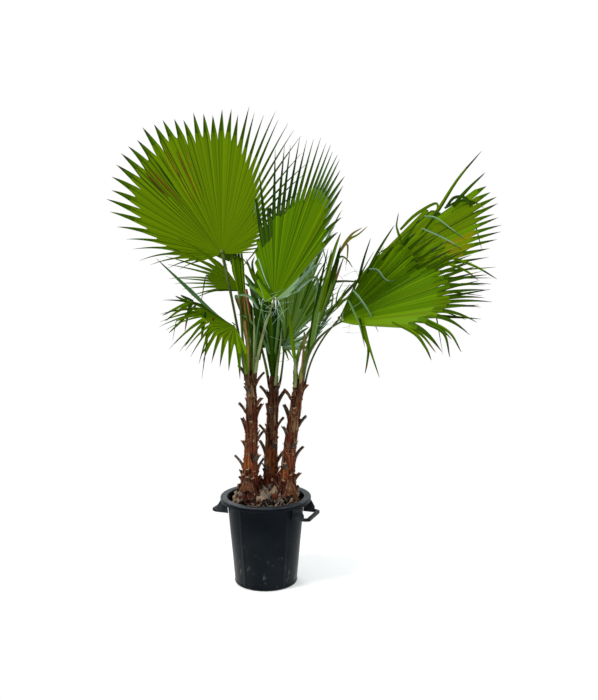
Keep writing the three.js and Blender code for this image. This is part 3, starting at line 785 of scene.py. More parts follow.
foot_sheaths, torn_sheaths, fibre_count = 16, 44, 70
for name, stem in stems.items():
    rng = random.Random(stem["turn"])
    core = stem_core(name, stem)
    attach(core, "root")
    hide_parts("trunk_" + name)
    bases = blank()
    for i in range(foot_sheaths):
        azimuth = math.radians(stem["turn"] + 25 + i * golden_angle + rng.uniform(-14, 14))
        tones = (rng.choice((RED, DARK, DARK, BROWN)), rng.choice((DARK, RED)))
        t, drop, stub = 0.11 + 0.011 * i, rng.uniform(60, 110), rng.choice((0, 24, 32))
        wrap, flare = rng.uniform(26, 40), rng.uniform(8, 30)
        old_leaf(bases, stem, t, azimuth, drop, wrap, stub, tones, rng, flare)
    for i in range(torn_sheaths):
        t = 0.08 + 0.89 * i / torn_sheaths
        sheath_tones = (ORANGE, ORANGE, RED, RED, TAN) if t < 0.5 else (RED, RED, BROWN, TAN)
        tones = (rng.choice(sheath_tones), rng.choice((RED, BROWN, TAN)))
        azimuth = math.radians(stem["turn"] + 40 + i * (360 - golden_angle))
        old_leaf(bases, stem, t, azimuth, rng.uniform(25, 75), rng.uniform(18, 44), 0, tones, rng)
    for i in range(stem["boots"]):
        t = 0.12 + 0.84 * (i + 0.5) / stem["boots"]
        azimuth = math.radians(stem["turn"] + i * golden_angle)
        size = 1 + 0.3 * math.sin(i * 2.4 + math.radians(stem["turn"]))
        length = 64 * size if i not in stem["none"] else 8
        sheath_tones = (ORANGE, RED, ORANGE) if t < 0.45 else (RED, BROWN, RED)
        tones = (rng.choice(sheath_tones), rng.choice((GREY, BROWN, GREY)))
        old_leaf(bases, stem, t, azimuth, rng.uniform(85, 130), rng.uniform(44, 62), length, tones, rng)
    for _ in range(fibre_count):
        level = 0.05 + 0.93 * rng.random() ** 1.2
        azimuth = rng.uniform(0, 2 * math.pi)
        knots = []
        for k in range(4):
            a = azimuth + k * rng.uniform(-0.25, 0.35)
            t = level + k * rng.uniform(-0.012, 0.016)
            out = stem_radius(stem, t) + rng.uniform(2, 5) + (rng.uniform(2, 12) if k == 3 else 0)
            knots.append(stem_centre(stem, t) + Vector((math.cos(a), math.sin(a), 0)) * out)
        tube(bases, smooth_path(knots, 7), (0.7, 0.35), 3, FIBRE)
    plates = make_piece("leaf_bases_" + name, bases["points"], bases["faces"], sheaths, bases["slots"], 40)
    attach(plates, "root")

# ---- The stalks -----------------------------------------------------------------------------------------
# Each frond stands on a long green petiole, broad and brown where it clasps the stem, with a row of small
# teeth down each edge. It ends at the hub of the fan, under a small flap. In fronds, most of hub, aim, turn,
# fold, spread and length are what a fitting program found, rounded and then partly changed.
fronds = [
    dict(
        name="left_tall", stem="left", side=150, hub=(-193, 125, 1450), aim=(94, 70), turn=-21,
        fold=(22, 12,
    ),
         spread=(93, 94), length=(390, 715, 420), joined=(0.56, 0.8, 0.73), curl=2, weep=0.06),
    dict(
        name="left_low", stem="left", side=235, hub=(-128, -50, 1146), aim=(226, 17), turn=-26, fold=(2, 53,
    ),
         spread=(60, 38), length=(365, 400, 600), joined=(0.6, 0.66, 0.6), curl=2, weep=0.48),
    dict(
        name="left_back", stem="left", side=75, hub=(-161, 281, 1409), aim=(131, 29), turn=-13,
        fold=(36, 40,
    ),
         spread=(59, 54), length=(422, 519, 431), joined=(0.6, 0.66, 0.6), curl=18, weep=0.25),
    dict(
        name="centre_tall", stem="left", side=315, hub=(45, -187, 1265), aim=(-8, 73), turn=45, fold=(0, 19,
    ),
         spread=(44, 51), length=(339, 674, 390), joined=(0.6, 0.6, 0.6), curl=1, weep=0.01),
    dict(
        name="middle_left", stem="middle", side=155, hub=(-117, 250, 1275), aim=(172, 35), turn=39,
        fold=(2, -3,
    ),
         spread=(46, 44), length=(280, 320, 620), joined=(0.5, 0.55, 0.5), curl=60, weep=0.35),
    dict(
        name="middle_right", stem="middle", side=17, hub=(76, 126, 1036), aim=(52, 33), turn=-49,
        fold=(13, 28,
    ),
         spread=(53, 71), length=(520, 460, 546), joined=(0.6, 0.66, 0.6), curl=6, weep=0.14),
    dict(
        name="right_front", stem="right", side=0, hub=(309, -160, 1185), aim=(-29, 17), turn=45,
        fold=(14, 15,
    ),
         spread=(66, 25), length=(850, 646, 300), joined=(0.6, 0.64, 0.6), curl=1, weep=0.01),
    dict(
        name="right_low", stem="right", side=298, hub=(310, -330, 1189), aim=(-38, 15), turn=46,
        fold=(-9, 31,
    ),
         spread=(34, 34), length=(850, 651, 300), joined=(0.6, 0.64, 0.6), curl=3, weep=0.37),
    dict(
        name="right_high", stem="right", side=54, hub=(391, 60, 1327), aim=(-43, 9), turn=66, fold=(-15, 20,
    ),
         spread=(52, 26), length=(850, 691, 850), joined=(0.66, 0.8, 0.72), curl=1, weep=0.01),
    dict(
        name="middle_back", stem="middle", side=86, hub=(140, 268, 1235), aim=(79, 34), turn=-8,
        fold=(63, 57,
    ),
         spread=(54, 63), length=(435, 524, 441), joined=(0.6, 0.66, 0.6), curl=21, weep=0.11),
    dict(
        name="right_back", stem="right", side=116, hub=(416, 238, 1274), aim=(23, 17), turn=-10,
        fold=(18, 23,
    ),
         spread=(62, 65), length=(466, 516, 458), joined=(0.6, 0.66, 0.6), curl=12, weep=0.24),
]


def fan_frame(frond):
    azimuth, lift = (math.radians(v) for v in frond["aim"])
    flat = Vector((math.cos(azimuth), math.sin(azimuth), 0))
    along = flat * math.cos(lift) + Vector((0, 0, math.sin(lift)))
    up = flat * -math.sin(lift) + Vector((0, 0, math.cos(lift)))
    up.rotate(Matrix.Rotation(math.radians(frond["turn"]), 3, along))
    return along, up.cross(along), up


clasp_level, leave_level = 0.9, 0.97  # where on the stem a stalk is rooted and where it leaves
leave_rise = 80  # degrees above level
stalk_bow = 0.45
stalk_steps = 28
hub_overrun = 6.3


def petiole_curve(frond):
    """Points from inside the crown of the stem to the hub, as the stalk runs."""
    stem = stems[frond["stem"]]
    side = math.radians(frond["side"])
    out = Vector((math.cos(side), math.sin(side), 0))
    start = stem_centre(stem, leave_level) + out * (stem_radius(stem, leave_level) + 9)
    end = Vector(frond["hub"]) + fan_frame(frond)[0] * hub_overrun
    rise = math.radians(leave_rise)
    leave = out * math.cos(rise) + Vector((0, 0, math.sin(rise)))
    bend = start + leave * ((start - end).length * stalk_bow)
    foot = stem_centre(stem, clasp_level) + out * (stem_radius(stem, clasp_level) - 1)
    curve = [foot, foot.lerp(start, 0.5) + out * 1]
    for k in range(stalk_steps + 1):
        t = k / stalk_steps
        curve.append(start * (1 - t) ** 2 + bend * 2 * t * (1 - t) + end * t * t)
    return out, curve


stalk_green = new_material("stalk_green", (0.1, 0.17, 0.02), 0.45, 0.2)
stalk_olive = new_material("stalk_olive", (0.06, 0.1, 0.01), 0.45, 0.2)
stalk_pale = new_material("stalk_pale", (0.3, 0.4, 0.14), 0.5, 0.2)
stalk_dry = new_material("stalk_dry", (0.3, 0.17, 0.06), 0.6, 0.15)
for made, dark, light in (
    (stalk_green, (0.04, 0.085, 0.006), (0.15, 0.24, 0.02)),
    (stalk_olive, (0.025, 0.05, 0.004), (0.09, 0.15, 0.012)),
    (stalk_pale, (0.12, 0.17, 0.04), (0.36, 0.42, 0.17)),
    (stalk_dry, (0.09, 0.06, 0.015), (0.38, 0.24, 0.09)),
):
    tint(made, ramp(made, object_noise(made, 60, (1, 1, 0.15), 5), [(0.35, dark), (0.68, light)]))
stalk_base = sheath_material("stalk_base", (0.03, 0.012, 0.008), (0.1, 0.042, 0.02), (0.22, 0.13, 0.05))
stalk_edge = new_material("stalk_edge", (0.14, 0.06, 0.018), 0.5)
flap = new_material("hub_flap", (0.15, 0.19, 0.03), 0.7, 0.1)
stalk_kind = {"centre_tall": stalk_pale}
for name in ("left_tall", "right_front", "right_low", "right_high"):
    stalk_kind[name] = stalk_olive


def petiole(frond):
    """The stalk, its teeth and the flap at the hub as one piece."""
    out, curve = petiole_curve(frond)
    aside = Vector((-out.y, out.x, 0))
    along_fan, left_fan, up_fan = fan_frame(frond)
    piece = blank()
    sides, clasped = 12, 3
    last = len(curve) - 1
    rng = random.Random(frond["name"])
    teeth = blank()
    for k, centre in enumerate(curve):
        t = k / last
        tangent = (curve[min(k + 1, last)] - curve[max(k - 1, 0)]).normalized()
        breadth = (aside - tangent * aside.dot(tangent)).normalized()
        edge_on = left_fan if breadth.dot(left_fan) > 0 else -left_fan
        edge_on = edge_on - tangent * edge_on.dot(tangent)
        breadth = breadth.lerp(edge_on, max(0, t - 0.6) * 1.6).normalized()
        depth = tangent.cross(breadth)
        slim = min(1, t * 2.2)
        half = lerp(12, 8, slim**0.7) * lerp(1, 0.85, t)
        thick = lerp(6, 5.6, slim) * lerp(1, 0.85, t)
        for i in range(sides):
            a = 2 * math.pi * i / sides
            hollow = 0.55 if math.sin(a) > 0.3 else 1.0
            aside_by, deep_by = half * math.cos(a), thick * math.sin(a) * hollow
            piece["points"].append(tuple(centre + breadth * aside_by + depth * deep_by))
        if k > 3 and k < last - 1:
            for edge in (-1, 1):
                for part in (0.0, 0.33, 0.66):
                    if rng.random() < 0.12:
                        continue
                    at = centre.lerp(curve[k + 1], part) + breadth * (edge * (half - 0.6))
                    tip = at + breadth * (edge * rng.uniform(3, 5)) + tangent * rng.uniform(-2, 3)
                    grow = tangent * 2.2
                    lift = depth * 1.1
                    base = len(teeth["points"])
                    corners = (at - grow, at + grow, at + lift, at - lift, tip)
                    teeth["points"] += [tuple(corner) for corner in corners]
                    for face in ((0, 2, 4), (2, 1, 4), (1, 3, 4), (3, 0, 4), (0, 3, 1, 2)):
                        turned = face if edge > 0 else tuple(reversed(face))
                        teeth["faces"].append(tuple(base + v for v in turned))
    piece["faces"] += ring_faces(0, last, sides)
    piece["slots"] += [1] * (clasped * sides) + [0] * ((last - clasped) * sides) + [1, 0]
    shift = len(piece["points"])
    piece["points"] += teeth["points"]
    piece["faces"] += [tuple(v + shift for v in face) for face in teeth["faces"]]
    piece["slots"] += [2] * len(teeth["faces"])
    hub, rows = Vector(frond["hub"]), []
    for ahead, half, high in ((2, 7, 0), (7, 8, 1), (12, 6, 2), (17, 3, 4), (21, 0.6, 5)):
        row = []
        for c in (-1, -0.5, 0, 0.5, 1):
            crown = 5 + high + 3 * (1 - abs(c))
            row.append(hub + along_fan * ahead + left_fan * (c * half) + up_fan * crown)
        rows.append(row)
    slab(piece, rows, [up_fan] * 5, [1.6] * 5, lambda k, c, side: 3)
    finish = [stalk_kind.get(frond["name"], stalk_green), stalk_base, stalk_edge, flap]
    return make_piece("stalk_" + frond["name"], piece["points"], piece["faces"], finish, piece["slots"], 50)


for frond in fronds:
    stalk = petiole(frond)
    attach(stalk, "root")
    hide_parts("petiole_" + frond["name"])

# Stalks of fronds that were cut or have not opened yet stand between the others. Some of these points were
# worked out by another program.
young_stalks = {
    "left": [
        ((-48, -42, 905), (-45, -50, 1010), (-44, -50, 1128), (-50, -30, 1216)),
        ((-74, -46, 905), (-70, -60, 1000), (-74, -60, 1090), (-84, -40, 1165)),
        ((-84, -18, 905), (-92, -6, 1020), (-104, 10, 1180), (-112, 40, 1290)),
    ],
    "right": [
        ((130, -36, 880), (133, -50, 948), (124, -75, 1066), (111, -90, 1174), (99, -95, 1263)),
        ((152, -40, 880), (160, -58, 960), (168, -62, 1060), (170, -60, 1120)),
        ((262, -10, 1300), (290, 12, 1327), (336, 36, 1332), (388, 56, 1330)),
    ],
    "middle": [((44, 34, 875), (52, 30, 960), (66, 30, 1060), (72, 28, 1130))],
}
for name, stalks in young_stalks.items():
    extra = blank()
    for k, knots in enumerate(stalks):
        path = smooth_path([Vector(p) for p in knots], 16)
        tube(extra, path, (7.5, 3.5) if k else (8, 2), 8, k % 3)
    finish = [stalk_pale, stalk_dry, stalk_olive]
    young = make_piece("young_stalks_" + name, extra["points"], extra["faces"], finish, extra["slots"], 60)
    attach(young, "root")

# ---- The fans -------------------------------------------------------------------------------------------
# A fan is ten to forty-five long segments, each folded along its middle, joined to their neighbours for about
# two thirds of their length and free beyond, with stiff points that droop, kink and brown with age. The tones
# are dealt out by segment; the two halves of a fold take different ones, as light and shade fall on pleats.
# Bright, mid, green, deep and shade step one leaf green down from lit to shaded: painted light and shade on
# the two halves of the pleats, and painted shadow where one fan shades another.
leaf_tones = [
    new_material("leaf_bright", (0.115, 0.195, 0.001), 0.6, 0.01),
    new_material("leaf_mid", (0.098, 0.172, 0.001), 0.6, 0.01),
    new_material("leaf_green", (0.058, 0.13, 0.001), 0.6, 0.01),
    new_material("leaf_deep", (0.035, 0.08, 0.002), 0.6, 0.01),
    new_material("leaf_shade", (0.014, 0.042, 0.005), 0.6, 0.01),
    new_material("leaf_lime", (0.13, 0.255, 0.001), 0.6, 0.01),
    new_material("leaf_yellow", (0.21, 0.215, 0.003), 0.6, 0.01),
    new_material("leaf_tip", (0.04, 0.06, 0.018), 0.7, 0.01),
    new_material("leaf_dry", (0.28, 0.17, 0.07), 0.7, 0.01),
    new_material("leaf_rust", (0.13, 0.034, 0.006), 0.7, 0.01),
    new_material("leaf_under", (0.13, 0.24, 0.05), 0.6, 0.02),
    # Sheen and dim sheen are a pale bluish grey green: painted sheen of light glancing off the glossy blades,
    # dealt to some undersides too.
    new_material("leaf_sheen", (0.27, 0.42, 0.25), 0.6, 0.02),
    new_material("leaf_sheen_dim", (0.1, 0.21, 0.08), 0.6, 0.02),
    # Pale is the brightest painted sheen, on blades that face away from the lamps; it is also the colour of
    # the fine pale threads.
    new_material("leaf_pale_and_sheen", (0.42, 0.62, 0.44), 0.6, 0.02),
    new_material("leaf_fresh", (0.083, 0.178, 0.001), 0.6, 0.01),
    # Young is the yellow green of a young blade, made brighter than that to paint light into blades that
    # stand in shade: the middle right fan and the right spear.
    new_material("leaf_young_and_lit", (0.2, 0.34, 0.05), 0.6, 0.01),
]
(BRIGHT, MID, GREEN, DEEP, SHADE, LIME, YELLOW, TIP, DRY, RUST, UNDER, SHEEN, SHEEN_DIM, PALE_AND_SHEEN,
 FRESH, YOUNG_AND_LIT) = range(16)

# For each fan: the tones that its folds (light and far), its fold lines (deep), its underside and its free
# ends are dealt, the pitch of its segments in degrees, how many degrees more than its solid it spreads to its
# left and right, the sector with rust-red streaks, how often an end kinks, and how far the joins, the reach,
# the droops, the bends at the join and the slimness of the ends depart from the rule at an angle (degrees
# from the middle segment). bands are sectors of other tones: from, to, first step, last step, tones. Steps 0
# to 5 are joined, 6 to 13 free.
usual_pitch = 4.2
usual_slim = 0.3
usual_kinks = 0.05
fold_round = 60  # mm from the middle within which the fan's own fold is rounded off
hub_inner = 14  # mm from the hub to where its segments begin
blade_thick = 1.5
fan_extras = {
    "left_tall": dict(
        light=(BRIGHT, BRIGHT, MID), far=(BRIGHT, MID, MID), deep=(GREEN, GREEN, DEEP), under=(MID, GREEN),
        ends=(GREEN, DEEP), more=(15, 6),
        reach=(
            (-100, 0.55), (-94, 0.72), (-60, 0.84), (-50, 0.89), (-40, 0.94), (-30, 0.96), (-22, 0.97),
            (14, 0.98), (20, 1.03), (28, 1.06), (34, 1.02), (66, 1), (76, 0.93), (84, 0.88), (93, 0.86),
            (108, 0.66),
        ),
        joins=(
            (-94, 0.8), (-73, 0.75), (-50, 0.62), (-35, 0.63), (-28, 0.71), (-17, 0.785), (-7, 0.96),
            (0, 1), (50, 1), (67, 0.92), (82, 0.78), (100, 0.74), (108, 0.8),
        ),
        droops=((60, 0), (93, 0.1)), slims=((-40, 0.3), (-15, 0.25), (0, 0.12), (70, 0.12), (80, 0.4)),
        rust=(18, 47), kinks=0, pitch=4.6,
    ),
    "left_low": dict(
        light=(BRIGHT, LIME, BRIGHT), deep=(GREEN, MID, DEEP), under=(GREEN, MID), pitch=4.8,
        ends=(BRIGHT, GREEN), more=(5, -8),
        joins=((-30, 0.7), (-26, 0.8), (-20, 0.76), (20, 0.7), (45, 0.95)),
        reach=((-30, 1.45), (-27.5, 1.3), (-25, 1.05), (-20, 1), (56, 1), (65, 0.85)),
        droops=((-27, -0.8), (-25, -0.42), (-20, -0.34), (60, -0.25)),
        bends=((-25, 0), (-20, 0.35), (10, 0.5), (60, 0.25)), slims=((-26, 0), (-24, 0.1)),
        bands=((-30, -26.4, 0, 11, SHEEN_DIM, UNDER), (-26.4, -21, 0, 11, DEEP, GREEN)), kinks=0.3,
    ),
    "left_back": dict(light=(BRIGHT, GREEN), deep=(GREEN, DEEP), under=(MID, GREEN), ends=(GREEN, DEEP)),
    # The shade and deep bands on the left of its free ends are painted shadow, cast on them by left_tall.
    "centre_tall": dict(
        light=(FRESH, FRESH, GREEN), far=(GREEN, FRESH, MID), deep=(LIME, LIME, DEEP),
        under=(SHEEN, SHEEN_DIM), pitch=5, more=(30, 20), slims=((-51, 0.12), (44, 0.12)),
        reach=(
            (-71, 0.3), (-53, 0.46), (-51.1, 0.5), (-50.9, 1), (43.9, 1), (44.1, 0.55), (60, 0.42),
            (74, 0.25),
        ),
        joins=(
            (-51.1, 1.6), (-50.9, 1.22), (-30, 1.24), (-20, 1.14), (0, 1), (10, 0.96), (20, 0.9),
            (43.9, 0.88), (44.1, 1.6),
        ),
        bands=(
            (-71, -51, 0, 11, SHEEN, UNDER), (6, 18, 6, 11, GREEN, SHADE), (18, 44, 6, 11, DEEP, SHADE),
            (30, 44, 4, 5, DEEP, SHADE),
        ),
        ends=(BRIGHT, DEEP),
    ),
    # Its blades and undersides all take bright limes: painted light on a fan that faces away from the lamps.
    "middle_left": dict(
        light=(LIME, LIME, BRIGHT), deep=(BRIGHT, MID), under=(LIME, BRIGHT), pitch=9, ends=(LIME, BRIGHT),
        reach=((-44, 1.1), (46, 1.1)), droops=((-44, -0.3), (46, -0.3)), joins=((-44, 0.78), (46, 0.78)),
    ),
    # Its young greens paint light into a fan that stands in shade, and its pale bluish tones are painted
    # sheen.
    "middle_right": dict(
        light=(SHEEN, PALE_AND_SHEEN, SHEEN), deep=(DEEP, SHEEN_DIM, DEEP), pitch=5.4, more=(0, 19),
        reach=((-90, 0.5), (-71, 1), (0, 1), (15, 1.08), (30, 1.18), (53, 1.26)),
        joins=((-90, 1.2), (-60, 1.1), (0, 1)),
        bands=(
            (-90, -40, 0, 11, UNDER, YOUNG_AND_LIT, GREEN), (-40, 5, 0, 2, YOUNG_AND_LIT, UNDER, UNDER, GREEN),
            (-40, 5, 3, 11, UNDER, GREEN, YOUNG_AND_LIT, DEEP, GREEN),
        ),
        ends=(SHEEN, SHEEN_DIM), slims=((-90, 0.4), (60, 0.4)),
    ),
    "right_front": dict(
        light=(FRESH, LIME, FRESH), deep=(DEEP, GREEN, DEEP), under=(MID, GREEN), pitch=6,
        ends=(FRESH, DEEP), slims=((-25, 0.15), (20, 0.1)),
        reach=((-25, 1), (42, 1), (50, 0.86), (66, 0.78)),
        joins=((-25, 0.75), (10, 0.8), (20, 0.86), (30, 1.02), (42, 1.2), (50, 0.95), (58, 0.7), (66, 0.5)),
    ),
    # Its undersides take lime and bright green: painted light on ends that hang in shade.
    "right_low": dict(
        light=(FRESH, FRESH, MID), deep=(GREEN, GREEN, LIME), under=(LIME, BRIGHT), pitch=5,
        ends=(FRESH, DEEP), droops=((-34, 0), (-16, -0.08), (-9, -0.3), (34, -0.34)),
        slims=((-34, 0.3), (0, 0.15), (34, 0.15)), joins=((-34, 1.06), (0, 1.06), (20, 1.06), (34, 0.98)),
        bands=(
            (20, 34, 0, 5, FRESH, DEEP), (-34, -14, 0, 5, LIME, LIME, BRIGHT),
            (-14, 2, 0, 5, LIME, FRESH, FRESH),
        ),
        kinks=0,
    ),
    "right_high": dict(
        light=(BRIGHT, BRIGHT, LIME), deep=(GREEN, MID, DEEP), under=(MID, GREEN), pitch=4,
        ends=(LIME, GREEN), slims=((-16, 0.1), (52, 0.2)), reach=((38, 1), (38.5, 0.66), (52, 0.6)),
        joins=((-16, 0.5), (-2, 0.62), (6, 1), (38, 1.12), (38.5, 1.6)),
        bands=((1, 15, 4, 6, YELLOW, YELLOW, LIME), (-16, 6, 7, 11, LIME, FRESH)),
    ),
    "middle_back": dict(
        light=(PALE_AND_SHEEN, SHEEN), deep=(UNDER, SHEEN), under=(SHEEN, UNDER), ends=(GREEN, BRIGHT),
        bands=((-63, -25, 3, 13, GREEN, DEEP),),
    ),
    "right_back": dict(
        light=(GREEN, DEEP), deep=(DEEP, SHADE), under=(MID, GREEN), ends=(DEEP, SHADE), pitch=6,
        reach=((-65, 0.9), (-50, 0.9), (-40, 0.68), (16, 0.68), (28, 0.9), (62, 0.9)),
        joins=((-65, 0.8), (62, 0.8)),
    ),
}


def fan_point(frond, axes, radius, angle, height):
    along, left, up = axes
    a, b = radius * math.cos(angle), radius * math.sin(angle)
    fold = math.radians(frond["fold"][0 if b > 0 else 1])
    root = math.hypot(b, fold_round)
    slope = math.tan(fold) * b / root
    tilt = 1 / math.hypot(1, slope)
    side = b * math.cos(fold) - height * slope * tilt
    rise = math.sin(fold) * (root - fold_round) + height * tilt
    curl = math.radians(frond["curl"]) / frond["length"][1]
    reach = math.sin(curl * a) / curl + rise * math.sin(curl * a)
    return Vector(frond["hub"]) + along * reach + left * side + up * (
        rise * math.cos(curl * a) - (1 - math.cos(curl * a)) / curl
    )


def across_fan(values, angle):
    right, middle, left = values
    q = angle / (math.pi / 2)
    return middle + (left - right) / 2 * q + ((left + right) / 2 - middle) * q * q


def read_off(knots, degrees, usual):
    """A value read off a list of (degrees, value), level beyond its ends."""
    if not knots:
        return usual
    for (a, x), (b, y) in zip(knots, knots[1:]):
        if degrees < b:
            return lerp(x, y, max(0, (degrees - a) / (b - a)))
    return knots[-1][1]


def fan(frond):
    """One frond's blade, segment by segment, as points, faces and material places."""
    rng = random.Random("fan " + frond["name"])
    axes = fan_frame(frond)
    extras = fan_extras[frond["name"]]
    more = extras.get("more", (0, 0))
    left, right = (math.radians(v + m) for v, m in zip(frond["spread"], more))
    count = round((left + right) / math.radians(extras.get("pitch", usual_pitch)))
    piece = blank()

    def edge_at(j):
        """The angle where segment j begins: the outer segments are broader than the middle ones."""
        share = j / count
        return (left + right) * (share + 0.2 * math.sin(2 * math.pi * share) / (2 * math.pi)) - right

    def tip_at(angle):
        return across_fan(frond["length"], angle) * read_off(extras.get("reach"), math.degrees(angle), 1)

    def join_at(angle):
        share = across_fan(frond["joined"], angle) * read_off(extras.get("joins"), math.degrees(angle), 1)
        return tip_at(angle) * min(share, 0.97)

    joins = [join_at(edge_at(j)) * rng.uniform(0.95, 1.02) for j in range(count + 1)]
    body = (0.04, 0.2, 0.4, 0.6, 0.8, 0.93, 1.0)
    across = (-1, -0.3, 0, 0.62, 1)
    free_steps = 8
    spans = len(body) + free_steps - 1
    for j in range(count):
        low, high = edge_at(j), edge_at(j + 1)
        angle, pitch = (low + high) / 2, high - low
        degrees = math.degrees(angle)
        join = join_at(angle)
        tip = max(tip_at(angle) * rng.uniform(0.955, 1.02), join + 4)
        rows, ups, thicks = [], [], []
        for share in body:
            row = []
            for c in across:
                border = joins[j] if c < 0 else joins[j + 1]
                r = lerp(join, border, abs(c)) * share if share > 0.05 else hub_inner
                crest = (2 * abs(c) - 1) * 0.2 * r * pitch / 2
                row.append(fan_point(frond, axes, r, angle + c * pitch / 2, crest))
            here = fan_point(frond, axes, join * share, angle, 0)
            rows.append(row)
            ups.append((fan_point(frond, axes, join * share, angle, 1) - here).normalized())
            thicks.append(blade_thick)
        start = fan_point(frond, axes, join, angle, 0)
        heading = (fan_point(frond, axes, join + 1, angle, 0) - start).normalized()
        up = (fan_point(frond, axes, join, angle, 1) - start).normalized()
        sideways = up.cross(heading)
        heading = heading + sideways * rng.uniform(-0.03, 0.03)
        heading.z -= read_off(extras.get("bends"), degrees, 0) * rng.uniform(0.6, 1.2)
        heading.normalize()
        half = join * pitch / 2
        weep = frond["weep"] + max(0, rng.gauss(0.0, 0.05))
        weep = max(0, weep + read_off(extras.get("droops"), degrees, 0))
        slim = read_off(extras.get("slims"), degrees, usual_slim)
        kink_at = rng.uniform(0.1, 0.7) if weep > 0 and rng.random() < extras.get("kinks", usual_kinks) else 9
        swing = sideways * rng.uniform(-0.6, 0.6)
        at = start.copy()
        for k in range(1, free_steps + 1):
            t = k / free_steps
            bent = heading + Vector((0, 0, -weep * 2 * (t - 0.5 / free_steps)))
            if t > kink_at:
                bent = bent * 0.25 + Vector((0, 0, -1)) + swing
            bent = bent.normalized()
            at = at + bent * ((tip - join) / free_steps)
            normal = bent.cross(sideways).normalized()
            narrow = max(half * (1 - t) ** 0.85 * (1 - slim * min(1, t / 0.2)), 0.35)
            crests = [normal * ((2 * abs(c) - 1) * 0.42 * narrow) for c in across]
            rows.append([at + sideways * (c * narrow) + crest for c, crest in zip(across, crests)])
            ups.append(normal)
            thicks.append(lerp(1.4, 0.7, t))
        plain, line = rng.choice(extras["light"]), rng.choice(extras["deep"])
        folds = (plain, line, rng.choice(extras.get("far", extras["light"])), rng.choice((plain, line)))
        band = [b for b in extras.get("bands", ()) if b[0] <= degrees <= b[1]]
        dry_end = rng.choice((1, 2, 2, 3))

        def tone(k, c, side):
            if k >= spans - dry_end:
                return DRY if k == spans - 1 and dry_end == 3 else TIP
            if side == "under" and "under" in extras:
                return extras["under"][c % 2]
            for _, _, first, last, *others in band:
                if first <= k <= last:
                    shift = j if len(others) > 2 else 0
                    return others[(c + shift) % len(others) if k < len(body) else c // 2]
            return extras["ends"][c // 2] if k > len(body) else folds[c]

        slab(piece, rows, ups, thicks, tone)
        rust = extras.get("rust")
        if rust and rust[0] <= degrees <= rust[1]:
            for _ in range(rng.choice((2, 3, 4))):
                off = rng.uniform(-0.4, 0.4) * pitch
                ends = sorted((rng.uniform(0.42, 0.78), rng.uniform(0.88, 1.0)))
                stain = rng.choice((RUST, RUST, SHADE, YELLOW))
                rows, ups, thicks = [], [], []
                for k in range(5):
                    r = join * lerp(*ends, k / 4)
                    lift = -0.2 * r * pitch / 2 + abs(off) * 0.4 * r + 1.8
                    wide = rng.uniform(1.4, 3.2) * (0.3 if k in (0, 4) else 1) * (1 if stain == RUST else 0.6)
                    edges = [angle + off + c * wide / r for c in (-1, 1)]
                    rows.append([fan_point(frond, axes, r, edge, lift) for edge in edges])
                    ups.append(up)
                    thicks.append(0.8)
                slab(piece, rows, ups, thicks, lambda k, c, side: stain)
    return piece


def strap(piece, path, width, tones, facing=(0, -1, 0.25)):
    """Adds one loose segment along path, folded along its middle, widest a third of the way and pointed;
    tones are its two halves and its end."""
    last = 14
    middle = smooth_path([Vector(p) for p in path], last)
    rows, ups, thicks = [], [], []
    for k, centre in enumerate(middle):
        t = k / last
        tangent = (middle[min(k + 1, last)] - middle[max(k - 1, 0)]).normalized()
        breadth = tangent.cross(Vector(facing)).normalized()
        normal = breadth.cross(tangent)
        half = width / 2 * min(1, 0.6 + 1.4 * t) * (1 - t) ** 0.6 + 0.4
        rows.append([centre - breadth * half, centre + normal * (0.5 * half), centre + breadth * half])
        ups.append(normal)
        thicks.append(1.2)
    slab(piece, rows, ups, thicks, lambda k, c, side: tones[2] if k > 10 else tones[c % 2])


